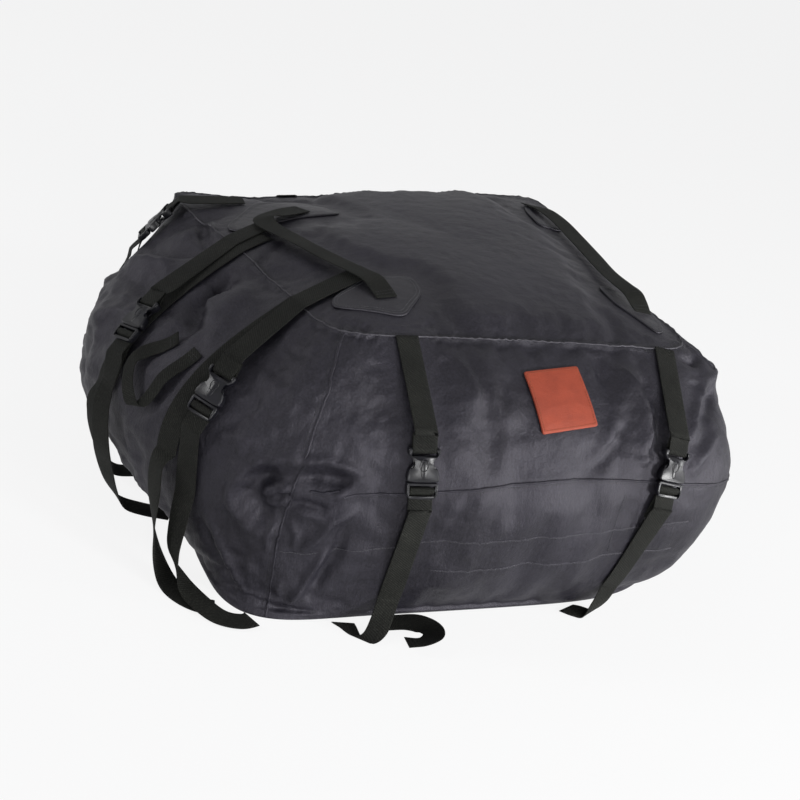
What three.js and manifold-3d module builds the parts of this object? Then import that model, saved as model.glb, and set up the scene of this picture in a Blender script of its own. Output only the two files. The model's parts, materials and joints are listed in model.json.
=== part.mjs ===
// A stuffed soft roof cargo bag for a car's roof rack: a puffed fabric body with a domed top
// panel, seven webbing straps with side-release buckles, two long carry handles anchored in
// stitched patches, a grab handle on the left end and a leather label on the front.
// Millimetres, +Z up. The bag rests on its flat base at z = 0, below the middle of its top panel.
// The front, with the label, faces -Y and the left end, with three straps, faces -X.

import * as THREE from 'three';
import { mergeVertices } from 'three/addons/utils/BufferGeometryUtils.js';
import Module from 'manifold-3d';

const wasm = await Module();
wasm.setup();

// The fabric body: half lengths of its outline, from the middle to each side, at three levels,
// and how square each corner is (2 is an ellipse, more is squarer).
const TOP_SEAM = {
  left: 390, right: 332, front: 306, back: 318,
  frontLeft: 12, frontRight: 12, backRight: 12, backLeft: 12, slant: 0.19,
};
const BELLY = {
  left: 621, right: 424, front: 491, back: 402,
  frontLeft: 2.2, frontRight: 6.9, backRight: 3, backLeft: 2.2, slant: 0,
};
const BASE = {
  left: 432, right: 367, front: 441, back: 350,
  frontLeft: 7.4, frontRight: 4.1, backRight: 4, backLeft: 4, slant: 0,
};
const SEAM_HEIGHT = 436;
const BELLY_HEIGHT = 218;
const DOME_RISE = 35;

// Sags and bulges of the stuffed fabric: where round the body, how wide, how far.
const SEAM_SAGS = [
  { angle: 135, width: 29, drop: 31 },
  { angle: 315, width: 29, drop: 11 },
  { angle: 45, width: 29, drop: -12 },
];
const BASE_TIP = { angle: 218, width: 13, reach: 42 };
const FRONT_EAR = { angle: -39, width: 9, level: 0.8, spread: 0.16, reach: 40 };

const SIDE_COLUMNS = 80;
const SIDE_ROWS = 20;
const DOME_ROWS = 8;
const BASE_ROWS = 2;

const fabric = new THREE.MeshStandardMaterial({ color: 0x2b2a2f, roughness: 0.62, metalness: 0 });

const radians = THREE.MathUtils.degToRad;

// Distance from the middle to a level's outline in the direction (c, s): a rounded quadrangle
// whose left edge leans outwards to the back by the level's slant.
function reach(level, c, s) {
  const leftwards = c + level.slant * s < 0;
  const across = leftwards ? -(c + level.slant * s) / level.left : Math.max(c, 0) / level.right;
  const along = Math.abs(s) / (s < 0 ? level.front : level.back);
  const squareness = s < 0
    ? (c < 0 ? level.frontLeft : level.frontRight)
    : (c < 0 ? level.backLeft : level.backRight);
  return (across ** squareness + along ** squareness) ** (-1 / squareness);
}

// A smooth hump round the body: 1 at its own angle in degrees, falling off to both sides.
function hump(angle, at, width) {
  const turns = (angle - radians(at)) / (2 * Math.PI);
  const away = (turns - Math.round(turns)) * 2 * Math.PI;
  return Math.exp(-((away / radians(width)) ** 2));
}

function bezier(a, b, c, d, t) {
  const u = 1 - t;
  return u * u * u * a + 3 * u * u * t * b + 3 * u * t * t * c + t * t * t * d;
}

function seamHeight(angle) {
  return SEAM_SAGS.reduce((z, sag) => z - sag.drop * hump(angle, sag.angle, sag.width), SEAM_HEIGHT);
}

// A point of the bag's side at an angle round it. Share 0 is the base edge, 0.5 the belly and 1
// the top seam.
function sidePoint(angle, share) {
  const c = Math.cos(angle);
  const s = Math.sin(angle);
  const base = reach(BASE, c, s) + BASE_TIP.reach * hump(angle, BASE_TIP.angle, BASE_TIP.width);
  const belly = reach(BELLY, c, s);
  const seam = reach(TOP_SEAM, c, s);
  let radius;
  let height;
  if (share < 0.5) {
    const t = share * 2;
    radius = bezier(base, base + 0.4 * (belly - base), belly, belly, t);
    height = bezier(0, 0, BELLY_HEIGHT * 0.45, BELLY_HEIGHT, t);
  } else {
    const t = share * 2 - 1;
    const top = seamHeight(angle);
    radius = bezier(belly, belly, seam + 0.49 * (belly - seam), seam, t);
    radius += FRONT_EAR.reach * hump(angle, FRONT_EAR.angle, FRONT_EAR.width)
      * Math.exp(-(((t - FRONT_EAR.level) / FRONT_EAR.spread) ** 2));
    height = bezier(BELLY_HEIGHT, BELLY_HEIGHT + 0.5 * (top - BELLY_HEIGHT),
      top - 0.22 * (top - BELLY_HEIGHT), top, t);
  }
  return new THREE.Vector3(radius * c, radius * s, height);
}

// A point of the domed top panel. Share 0 is its seam and 1 its middle.
function domePoint(angle, share) {
  const c = Math.cos(angle);
  const s = Math.sin(angle);
  const radius = reach(TOP_SEAM, c, s) * (1 - share);
  const height = seamHeight(angle) * (1 - share) + SEAM_HEIGHT * share;
  return new THREE.Vector3(radius * c, radius * s, height + DOME_RISE * (1 - (1 - share) ** 2.4));
}

function bodyGeometry() {
  const rings = [];
  const ring = (pointAt) => Array.from({ length: SIDE_COLUMNS },
    (_, column) => pointAt((column / SIDE_COLUMNS) * 2 * Math.PI));
  for (let row = 1; row < BASE_ROWS; row += 1) {
    rings.push(ring((angle) => {
      const p = sidePoint(angle, 0);
      return p.multiplyScalar(row / BASE_ROWS);
    }));
  }
  for (let row = 0; row <= SIDE_ROWS; row += 1) {
    rings.push(ring((angle) => sidePoint(angle, row / SIDE_ROWS)));
  }
  for (let row = 1; row < DOME_ROWS; row += 1) {
    rings.push(ring((angle) => domePoint(angle, row / DOME_ROWS)));
  }
  return closedRings(rings, new THREE.Vector3(0, 0, 0), domePoint(0, 1));
}

// A closed geometry from rings of points stacked upwards, with a middle point below and above.
function closedRings(rings, lowest, highest) {
  const count = rings[0].length;
  const points = [lowest, ...rings.flat(), highest];
  const index = [];
  const at = (row, column) => 1 + row * count + (column % count);
  for (let column = 0; column < count; column += 1) {
    index.push(0, at(0, column + 1), at(0, column));
    for (let row = 0; row + 1 < rings.length; row += 1) {
      index.push(at(row, column), at(row, column + 1), at(row + 1, column + 1));
      index.push(at(row, column), at(row + 1, column + 1), at(row + 1, column));
    }
    index.push(points.length - 1, at(rings.length - 1, column), at(rings.length - 1, column + 1));
  }
  const geometry = new THREE.BufferGeometry().setFromPoints(points);
  geometry.setIndex(index);
  return geometry;
}

const bag = new THREE.Group();

function addPiece(name, geometry, material) {
  const mesh = new THREE.Mesh(geometry, material);
  mesh.name = name;
  bag.add(mesh);
  return mesh;
}

const body = addPiece('bag_body', bodyGeometry(), fabric);
body.updateMatrixWorld(true);

// Webbing, buckles and their clearances.
const WEBBING_WIDTH = 38;
const WEBBING_THICKNESS = 1.6;
const SEAT_GAP = 0.6;
const LAYER_STEP = WEBBING_THICKNESS + 0.8;
const THINNING = 0.3;

const BUCKLE = {
  length: 78, width: 50, thickness: 13, edge: 1.6,
  slotLength: 6.4, slotWidth: 40, barLength: 5, barThickness: 5,
  socketLength: 52, waistSetBack: 7, mouthGap: 0.4, pocketThickness: 7, pocketWidth: 40,
  windowWidth: 10, windowLength: 16, windowAlong: 23,
  ovalWidth: 10, ovalLength: 26, ovalAlong: 19, ovalRise: 1.2,
  clipThickness: 10, clipEdge: 1.2, ladderSlot: 5.6, ladderStart: 4.4, ladderEnd: 4.4,
  prongLength: 29, prongWidth: 7, prongThickness: 6, prongReach: 17.6,
  tongueWidth: 8, tongueThickness: 3.2,
};

const webbing = new THREE.MeshStandardMaterial({ color: 0x232421, roughness: 0.85, metalness: 0 });
const plastic = new THREE.MeshStandardMaterial({ color: 0x1b1c1f, roughness: 0.3, metalness: 0 });
const leather = new THREE.MeshStandardMaterial({ color: 0xb0482a, roughness: 0.6, metalness: 0 });
const backing = new THREE.MeshStandardMaterial({ color: 0x232226, roughness: 0.7, metalness: 0 });

// A webbing strip as one closed solid: each station has its left and right edge, and the
// thickness goes to both sides of them.
function ribbon(stations, thickness = WEBBING_THICKNESS) {
  const rings = stations.map(({ left, right }, k) => {
    const before = stations[Math.max(0, k - 1)];
    const after = stations[Math.min(stations.length - 1, k + 1)];
    const along = after.left.clone().add(after.right).sub(before.left).sub(before.right);
    const half = new THREE.Vector3().subVectors(right, left).cross(along).setLength(thickness / 2);
    return [
      left.clone().sub(half), right.clone().sub(half),
      right.clone().add(half), left.clone().add(half),
    ];
  });
  const points = rings.flat();
  const index = [0, 1, 2, 0, 2, 3];
  for (let k = 0; k + 1 < rings.length; k += 1) {
    for (let side = 0; side < 4; side += 1) {
      const a = k * 4 + side;
      const b = k * 4 + (side + 1) % 4;
      // both faces of the webbing split along the same diagonal, so that a twist keeps its thickness
      if (side === 0) index.push(a, a + 4, b + 4, a, b + 4, b);
      else index.push(a, a + 4, b, b, a + 4, b + 4);
    }
  }
  const last = (rings.length - 1) * 4;
  index.push(last, last + 2, last + 1, last, last + 3, last + 2);
  const geometry = new THREE.BufferGeometry().setFromPoints(points);
  geometry.setIndex(index);
  return geometry;
}

// Stations of a strip that hangs or lies free, from chosen points of its middle line and the
// direction of its width at each.
function freeStations(guides, steps, width = WEBBING_WIDTH) {
  const places = guides.map(({ at }) => new THREE.Vector3(...at));
  const line = new THREE.CatmullRomCurve3(places, false, 'centripetal');
  const across = new THREE.CatmullRomCurve3(guides.map(({ wide }) => (
    new THREE.Vector3(...wide).normalize()
  )));
  return Array.from({ length: steps + 1 }, (_, k) => {
    const middle = line.getPoint(k / steps);
    const half = across.getPoint(k / steps).setLength(width / 2);
    return { left: middle.clone().sub(half), right: middle.clone().add(half) };
  });
}

// Stations for the loose end of a strap: it carries on from the last of the stations that lie on
// the body, with the same edge on the left, and goes through the guides.
function looseStations([before, last], guides, steps, gap = 0) {
  const middle = ({ left, right }) => left.clone().add(right).multiplyScalar(0.5);
  const wide = last.right.clone().sub(last.left);
  const side = Math.sign(wide.dot(new THREE.Vector3(...guides[0].wide)));
  const start = middle(last).add(middle(last).sub(middle(before)).setLength(gap));
  return freeStations([
    { at: start.toArray(), wide: wide.toArray() },
    ...guides.map((guide) => ({ at: guide.at, wide: guide.wide.map((w) => w * side) })),
  ], steps);
}

// The vertical or leaning plane that a strap lies in, through three points on the bag.
function strapPlane(top, belly, foot) {
  const [a, b, c] = [top, belly, foot].map((p) => new THREE.Vector3(...p));
  const across = new THREE.Vector3().crossVectors(b.clone().sub(a), c.clone().sub(a)).normalize();
  const up = new THREE.Vector3(0, 0, 1).projectOnPlane(across).normalize();
  const out = new THREE.Vector3().crossVectors(up, across).normalize();
  if (out.dot(b) < 0) {
    out.negate();
    across.negate();
  }
  const hub = b.clone().sub(out.clone().multiplyScalar(out.dot(b) * 0.7));
  hub.z = BELLY_HEIGHT;
  return { across, up, out, hub };
}

// Convex outline of the bag's body where a plane, moved sideways by an offset, cuts it, as
// points (outwards, upwards) from the strap plane's hub.
function bodyOutline(plane, offset) {
  const positions = body.geometry.attributes.position;
  const index = body.geometry.index;
  const corner = new THREE.Vector3();
  const heights = [];
  const flat = [];
  for (let k = 0; k < positions.count; k += 1) {
    corner.fromBufferAttribute(positions, k).sub(plane.hub);
    heights.push(corner.dot(plane.across) - offset);
    flat.push([corner.dot(plane.out), corner.dot(plane.up)]);
  }
  const cut = [];
  for (let k = 0; k < index.count; k += 1) {
    const a = index.getX(k);
    const b = index.getX(k % 3 === 2 ? k - 2 : k + 1);
    if (heights[a] < 0 !== heights[b] < 0) {
      const t = heights[a] / (heights[a] - heights[b]);
      cut.push([flat[a][0] + t * (flat[b][0] - flat[a][0]), flat[a][1] + t * (flat[b][1] - flat[a][1])]);
    }
  }
  return convexOutline(cut);
}

function convexOutline(points) {
  const sorted = [...points].sort((a, b) => a[0] - b[0] || a[1] - b[1]);
  const turn = (o, a, b) => (a[0] - o[0]) * (b[1] - o[1]) - (a[1] - o[1]) * (b[0] - o[0]);
  const chain = (list) => {
    const kept = [];
    list.forEach((p) => {
      while (kept.length > 1 && turn(kept[kept.length - 2], kept[kept.length - 1], p) <= 1e-9) kept.pop();
      kept.push(p);
    });
    kept.pop();
    return kept;
  };
  return [...chain(sorted), ...chain(sorted.reverse())];
}

// Where a ray from the hub, leaning by an angle from straight up towards the outside, leaves a
// convex outline.
function outlineAt(outline, angle) {
  const c = Math.sin(angle);
  const s = Math.cos(angle);
  for (let k = 0; k < outline.length; k += 1) {
    const [ax, ay] = outline[k];
    const [bx, by] = outline[(k + 1) % outline.length];
    const a = ax * s - ay * c;
    const b = bx * s - by * c;
    if (a > 0 !== b > 0) {
      const t = a / (a - b);
      const r = (ax + t * (bx - ax)) * c + (ay + t * (by - ay)) * s;
      if (r > 0) return r;
    }
  }
  return 0;
}

const angleOf = ([d, z]) => Math.atan2(d, z);

// Stations of a taut strip over the body from one angle to another, lifted off it, with room
// for extra points such as a buckle's bar that the strip is pulled over.
function drapedStations(plane, { from, to, lift, shift = 0, width = WEBBING_WIDTH, over = [] }) {
  const offsets = [-0.5, -0.25, 0, 0.25, 0.5].map((share) => share * width + shift);
  const grown = offsets.map((offset) => convexOutline([...bodyOutline(plane, offset), ...over]));
  const angles = new Set([from, to]);
  grown.forEach((outline) => outline.forEach((p) => {
    const angle = angleOf(p);
    if (angle > Math.min(from, to) && angle < Math.max(from, to)) angles.add(angle);
  }));
  const ordered = [...angles].sort((a, b) => (from < to ? a - b : b - a));
  const edges = ordered.map((angle) => {
    const r = grown.map((outline) => outlineAt(outline, angle));
    const across = (share) => r[0] + (r[4] - r[0]) * share;
    const rise = Math.max(0, r[1] - across(0.25), r[2] - across(0.5), r[3] - across(0.75));
    return { angle, left: r[0] + rise, right: r[4] + rise };
  });
  const kept = thinned(edges);
  const place = (angle, r, offset) => {
    const spot = plane.out.clone().multiplyScalar(Math.sin(angle) * r).add(plane.hub);
    return spot.addScaledVector(plane.up, Math.cos(angle) * r).addScaledVector(plane.across, offset);
  };
  const stations = kept.map(({ angle, left, right }) => ({
    left: place(angle, left, offsets[0]), right: place(angle, right, offsets[4]),
  }));
  return offsetStations(stations, plane, lift + WEBBING_THICKNESS / 2);
}

// Drops the stations that lie within a hair of the line between their neighbours.
function thinned(edges) {
  const flat = (e, side) => [Math.sin(e.angle) * e[side], Math.cos(e.angle) * e[side]];
  const kept = [edges[0]];
  let start = 0;
  for (let k = 1; k + 1 < edges.length; k += 1) {
    const bulge = Math.max(...['left', 'right'].map((side) => {
      const [ax, ay] = flat(edges[start], side);
      const [bx, by] = flat(edges[k + 1], side);
      const span = Math.hypot(bx - ax, by - ay) || 1;
      return Math.max(...edges.slice(start + 1, k + 1).map((e) => {
        const [px, py] = flat(e, side);
        return Math.abs((bx - ax) * (py - ay) - (by - ay) * (px - ax)) / span;
      }));
    }));
    if (bulge > THINNING) {
      kept.push(edges[k]);
      start = k;
    }
  }
  kept.push(edges[edges.length - 1]);
  return kept;
}

// Moves stations away from the body, square to the strip.
function offsetStations(stations, plane, distance) {
  return stations.map((here, k) => {
    const before = stations[Math.max(0, k - 1)];
    const after = stations[Math.min(stations.length - 1, k + 1)];
    const normalOf = (a, b) => {
      const along = b.left.clone().add(b.right).sub(a.left).sub(a.right);
      const n = new THREE.Vector3().subVectors(here.right, here.left).cross(along).normalize();
      const outward = here.left.clone().add(here.right).multiplyScalar(0.5).sub(plane.hub);
      return n.dot(outward) < 0 ? n.negate() : n;
    };
    const first = k > 0 ? normalOf(before, here) : normalOf(here, after);
    const second = k + 1 < stations.length ? normalOf(here, after) : first;
    const mid = first.clone().add(second).normalize();
    const reachOut = distance / Math.max(0.6, mid.dot(first));
    return {
      left: here.left.clone().addScaledVector(mid, reachOut),
      right: here.right.clone().addScaledVector(mid, reachOut),
    };
  });
}

// The place of a buckle on a strap plane: its middle is at an angle, its length along the
// strap, and its back just clears the body and what lies on it.
function buckleFrame(plane, angle, lift) {
  const offsets = [-0.5, -0.25, 0, 0.25, 0.5].map((share) => share * BUCKLE.width);
  const outlines = offsets.map((offset) => bodyOutline(plane, offset));
  const point = (k, at) => {
    const r = outlineAt(outlines[k], at);
    return plane.hub.clone().addScaledVector(plane.out, Math.sin(at) * r)
      .addScaledVector(plane.up, Math.cos(at) * r).addScaledVector(plane.across, offsets[k]);
  };
  const middle = point(2, angle);
  const turn = BUCKLE.length / 2 / outlineAt(outlines[2], angle);
  const down = point(2, angle + turn).sub(point(2, angle - turn)).normalize();
  const across = point(4, angle).sub(point(0, angle)).projectOnPlane(down).normalize();
  const out = new THREE.Vector3().crossVectors(across, down).normalize();
  if (out.dot(plane.out) < 0) {
    out.negate();
  }
  let top = -Infinity;
  for (let k = 0; k < offsets.length; k += 1) {
    for (let share = -1; share <= 1; share += 0.25) {
      top = Math.max(top, point(k, angle + share * turn).sub(middle).dot(out));
    }
  }
  middle.addScaledVector(out, top + lift + BUCKLE.thickness / 2);
  return { middle, down, across: new THREE.Vector3().crossVectors(down, out).normalize(), out };
}

// A point given along the strap, across it and out from the buckle's middle.
function inFrame(frame, along, across, out) {
  return frame.middle.clone().addScaledVector(frame.down, along)
    .addScaledVector(frame.across, across).addScaledVector(frame.out, out);
}

function localStations(frame, profile) {
  const half = WEBBING_WIDTH / 2;
  return profile.map(([along, out, aside = 0]) => ({
    left: inFrame(frame, along, aside - half, out), right: inFrame(frame, along, aside + half, out),
  }));
}

const planar = (plane, point) => {
  const from = point.clone().sub(plane.hub);
  return [from.dot(plane.out), from.dot(plane.up)];
};

// Puts stations in the same left to right order as a plane's draped ones.
function alignedTo(plane, stations) {
  return stations.map(({ left, right }) => (right.clone().sub(left).dot(plane.across) < 0
    ? { left: right, right: left } : { left, right }));
}

// Closed solids for the buckle halves, cut and joined as exact solids.
function solid(geometry) {
  geometry.deleteAttribute('normal');
  geometry.deleteAttribute('uv');
  const merged = mergeVertices(geometry, 1e-4);
  return new wasm.Manifold(new wasm.Mesh({
    numProp: 3,
    vertProperties: new Float32Array(merged.attributes.position.array),
    triVerts: new Uint32Array(merged.index.array),
  }));
}

function toGeometry(manifold) {
  const { vertProperties, triVerts } = manifold.getMesh();
  const geometry = new THREE.BufferGeometry();
  geometry.setAttribute('position', new THREE.BufferAttribute(new Float32Array(vertProperties), 3));
  geometry.setIndex(new THREE.BufferAttribute(new Uint32Array(triVerts), 1));
  return geometry;
}

// A block given by its limits across (x), along the strap (y) and outwards (z).
function block(x, y, z) {
  const geometry = new THREE.BoxGeometry(x[1] - x[0], y[1] - y[0], z[1] - z[0]);
  geometry.translate((x[0] + x[1]) / 2, (y[0] + y[1]) / 2, (z[0] + z[1]) / 2);
  return solid(geometry);
}

// A plate of a symmetrical outline, given for its right half from top to bottom.
function plate(half, thickness, bevel) {
  const shape = new THREE.Shape();
  half.forEach(([x, y], k) => (k ? shape.lineTo(x, y) : shape.moveTo(x, y)));
  [...half].reverse().forEach(([x, y]) => shape.lineTo(-x, y));
  const geometry = new THREE.ExtrudeGeometry(shape, {
    depth: thickness - 2 * bevel, bevelEnabled: true, bevelSize: bevel, bevelThickness: bevel,
    bevelSegments: 1, bevelOffset: -bevel,
  });
  geometry.translate(0, 0, bevel - thickness / 2);
  return solid(geometry);
}

const HALF_LENGTH = BUCKLE.length / 2;
const HALF_WIDTH = BUCKLE.width / 2;
const MOUTH = BUCKLE.socketLength - HALF_LENGTH;

// The socket: a loop with a bar for the upper webbing, a waisted hollow body with a window on
// each side where the clip's prongs snap in, and a raised oval on its face. Along the strap it
// runs from the bar at -HALF_LENGTH to its open mouth.
function socketSolid() {
  const neck = HALF_WIDTH - BUCKLE.waistSetBack;
  const outline = [
    [HALF_WIDTH - 2, -HALF_LENGTH], [HALF_WIDTH, -HALF_LENGTH + 3], [HALF_WIDTH - 0.6, -HALF_LENGTH + 9],
    [neck + 1, -HALF_LENGTH + 15], [neck, -HALF_LENGTH + 21], [neck + 1.4, -HALF_LENGTH + 28],
    [HALF_WIDTH - 2, -HALF_LENGTH + 35], [HALF_WIDTH, MOUTH - 8], [HALF_WIDTH - 0.4, MOUTH - 3],
    [HALF_WIDTH - 4, MOUTH - 1], [HALF_WIDTH - 14, MOUTH],
  ];
  const slotStart = -HALF_LENGTH + BUCKLE.barLength;
  const slotEnd = slotStart + BUCKLE.slotLength;
  const half = BUCKLE.slotWidth / 2;
  const pocket = BUCKLE.pocketThickness / 2;
  const thick = BUCKLE.thickness;
  const room = BUCKLE.pocketWidth / 2;
  let shell = plate(outline, thick, BUCKLE.edge);
  shell = shell.subtract(block([-half, half], [slotStart, slotEnd], [-thick, thick]));
  const barTop = BUCKLE.barThickness / 2;
  shell = shell.subtract(block([-half, half], [-thick - HALF_LENGTH, slotStart], [barTop, thick]));
  shell = shell.subtract(block([-half, half], [-thick - HALF_LENGTH, slotStart], [-thick, -barTop]));
  shell = shell.subtract(plate([
    [13, slotEnd + 4], [neck + 3, slotEnd + 8], [neck + 3, -HALF_LENGTH + 30],
    [room, MOUTH - 10], [room, MOUTH + 6],
  ], BUCKLE.pocketThickness, 0.5));
  const windowShape = new THREE.Shape();
  windowShape.absellipse(0, 0, BUCKLE.windowWidth / 2, BUCKLE.windowLength / 2, 0, Math.PI * 2);
  [-1, 1].forEach((side) => {
    const geometry = new THREE.ExtrudeGeometry(windowShape, {
      depth: thick * 2, bevelEnabled: false, curveSegments: 7,
    });
    geometry.translate(side * (neck + 1), -HALF_LENGTH + BUCKLE.windowAlong, -thick);
    shell = shell.subtract(solid(geometry));
  });
  const ovalShape = new THREE.Shape();
  ovalShape.absellipse(0, 0, BUCKLE.ovalWidth / 2, BUCKLE.ovalLength / 2, 0, Math.PI * 2);
  const oval = new THREE.ExtrudeGeometry(ovalShape, {
    depth: 0.5, bevelEnabled: true, bevelSize: 1, bevelThickness: 0.5, bevelSegments: 1,
    bevelOffset: -1, curveSegments: 8,
  });
  oval.translate(0, MOUTH - BUCKLE.ovalAlong, thick / 2 + BUCKLE.ovalRise - 1.5);
  shell = shell.add(solid(oval));
  return toGeometry(shell);
}

// The clip: two springy prongs and a tongue that slide into the socket, and a ladder lock of
// two bars for the lower webbing.
function clipSolid() {
  const start = MOUTH + BUCKLE.mouthGap;
  const end = HALF_LENGTH;
  const outline = [
    [HALF_WIDTH - 3, start], [HALF_WIDTH - 0.6, start + 3], [HALF_WIDTH - 1, end - 8],
    [HALF_WIDTH - 5, end - 1.4], [HALF_WIDTH - 12, end],
  ];
  const half = BUCKLE.slotWidth / 2;
  const thick = BUCKLE.clipThickness;
  let clip = plate(outline, thick, BUCKLE.clipEdge);
  const firstSlot = start + BUCKLE.ladderStart;
  const firstBar = firstSlot + BUCKLE.ladderSlot;
  const lastBar = end - BUCKLE.ladderEnd;
  const lastSlot = lastBar - BUCKLE.slotLength;
  clip = clip.subtract(block([-half, half], [firstSlot, firstBar], [-thick, thick]));
  clip = clip.subtract(block([-half, half], [lastSlot, lastBar], [-thick, thick]));
  const barTop = BUCKLE.barThickness / 2;
  [[firstBar, lastSlot], [lastBar, end + 1]].forEach((y) => {
    clip = clip.subtract(block([-half, half], y, [barTop, thick]));
    clip = clip.subtract(block([-half, half], y, [-thick, -barTop]));
  });
  const prong = BUCKLE.prongThickness / 2;
  const tip = start - BUCKLE.prongLength;
  const outer = BUCKLE.prongReach;
  const inner = outer - BUCKLE.prongWidth;
  const arm = [
    [inner, start + 1], [outer - 1, start + 1], [outer - 1.6, start - 10], [outer, start - 17],
    [outer + 1.6, tip + 6], [outer - 3, tip], [inner + 1, tip + 1],
    [inner + 2.4, tip + 7], [inner + 1, start - 12],
  ];
  [-1, 1].forEach((side) => {
    const shape = new THREE.Shape();
    const points = side > 0 ? arm : [...arm].reverse();
    points.forEach(([x, y], k) => (k ? shape.lineTo(side * x, y) : shape.moveTo(side * x, y)));
    const geometry = new THREE.ExtrudeGeometry(shape, { depth: prong * 2, bevelEnabled: false });
    geometry.translate(0, 0, -prong);
    clip = clip.add(solid(geometry));
  });
  const tongue = [BUCKLE.tongueWidth / 2, BUCKLE.tongueThickness / 2];
  clip = clip.add(block([-tongue[0], tongue[0]], [tip + 6, start + 1], [-tongue[1], tongue[1]]));
  return toGeometry(clip);
}

const socket = socketSolid();
const clip = clipSolid();

function placeInFrame(name, geometry, frame, material) {
  const mesh = addPiece(name, geometry, material);
  const outwards = new THREE.Vector3().crossVectors(frame.across, frame.down);
  const basis = new THREE.Matrix4().makeBasis(frame.across, frame.down, outwards);
  mesh.quaternion.setFromRotationMatrix(basis);
  mesh.position.copy(frame.middle);
  return mesh;
}

// How the webbing runs round the socket's bar and the clip's ladder, as points along the strap
// and outwards from the buckle's middle.
const fromMouth = (along) => MOUTH + along;
const fromEnd = (along) => HALF_LENGTH + along;
const BAR_WRAP = [
  [-23, 1.5], [-9, 2.8], [-2, 4.0], [2, 4.1], [5.6, 3.7], [7.4, 1.6],
  [7.8, -1.6], [5.6, -3.7], [2, -4.1], [-2, -4.0], [-9, -2.6], [-23, -1.2],
].map(([along, out]) => [along - HALF_LENGTH, out]);
const LADDER_WRAP = [
  [fromEnd(21), -3.6], [fromEnd(7), -3.9], [fromEnd(-3), -3.9], [fromEnd(-5.6), -3.4],
  [fromEnd(-7.8), -0.9], [fromEnd(-8.3), 0.6], [fromEnd(-9.4), 3.1], [fromEnd(-11.2), 4.1],
  [fromMouth(11), 4.1], [fromMouth(9.1), 3.1], [fromMouth(8.1), 0.3], [fromMouth(8.9), -3.2],
  [fromMouth(11.2), -5.3], [fromEnd(-10), -6.0], [fromEnd(1), -6.2],
];
const BUCKLE_LIFT = 1.2;

// Every strap set: the plane it lies in, through a point at its top, one at its belly and one at
// its foot; the buckle's middle; where its lower webbing leaves the body; and how it goes on.
const STRAPS = {
  front_left: {
    top: [-207, -306, 436], belly: [-207, -467, 285], foot: [-207, -456, 45],
    loose: [
      { at: [-220, -476, 24], wide: [1, -0.1, 0.05] },
      { at: [-240, -499, 8], wide: [1, -0.3, 0.05] }, { at: [-258, -500, 1.6], wide: [1, -0.9, 0] },
      { at: [-270, -484, 1.6], wide: [0.9, -0.9, 0] }, { at: [-276, -457, 1.8], wide: [1, -0.2, 0] },
    ],
  },
  front_right: {
    top: [266, -306, 425], belly: [222, -476, 285], foot: [190, -467, 51],
    loose: [
      { at: [182, -477, 24], wide: [1, 0.2, 0] },
      { at: [166, -478, 3], wide: [1, 0.6, 0] }, { at: [150, -469, 1.6], wide: [1, 0.9, 0] },
      { at: [134, -458, 1.6], wide: [1, 0.4, 0] },
    ],
  },
  left_front: {
    top: [-212, -128, 460], belly: [-489, -283, 315], foot: [-512, -296, 153], banded: true,
    loose: [
      { at: [-520, -302, 98], wide: [0.488, -0.873, 0] },
      { at: [-524, -318, 45], wide: [0.2, -0.9, 0] }, { at: [-512, -352, 16], wide: [-0.5, -0.7, 0] },
      { at: [-492, -394, 7], wide: [-0.9, -0.45, 0] }, { at: [-468, -428, 4.4], wide: [-0.8, -0.7, 0] },
      { at: [-438, -440, 4], wide: [-0.3, -0.9, 0] }, { at: [-421, -436, 4], wide: [0.4, -0.9, 0] },
    ],
  },
  left_middle: {
    top: [-322, 73, 444], belly: [-561, -88, 330], foot: [-612, -126, 244], banded: true,
    loose: [
      { at: [-623, -140, 212], wide: [0.5, -0.86, 0] }, { at: [-616, -142, 145], wide: [0.554, -0.833, 0] },
      { at: [-600, -124, 90], wide: [0.5, -0.85, 0.1] }, { at: [-581, -114, 40], wide: [0.3, -0.9, 0.1] },
      { at: [-560, -112, 8], wide: [0, -1, 0] }, { at: [-530, -124, 1.6], wide: [-0.3, -0.95, 0] },
      { at: [-482, -144, 1.6], wide: [-0.45, -0.9, 0] },
    ],
  },
  left_back: {
    top: [-330, 215, 440], belly: [-468, 222, 369], foot: [-560, 227, 150],
    loose: [
      { at: [-560, 227, 96], wide: [0, -1, 0] },
      { at: [-545, 226, 40], wide: [0, -1, 0] }, { at: [-522, 224, 8], wide: [0, -1, 0] },
      { at: [-490, 221, 1.8], wide: [0, -1, 0] }, { at: [-440, 217, 1.8], wide: [0, -1, 0] },
    ],
  },
  back_left: { top: [-207, 318, 424], belly: [-207, 390, 285], foot: [-207, 372, 40] },
  back_right: { top: [236, 318, 436], belly: [236, 395, 285], foot: [236, 376, 40] },
};

const BAND_LIFT = 1.1;
const LOOSE_STEPS = 20;
const STRAP_SPLIT = 0.8;
const point = (p) => new THREE.Vector3(...p);

function angleAt(plane, p) {
  return angleOf(planar(plane, point(p)));
}

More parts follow.
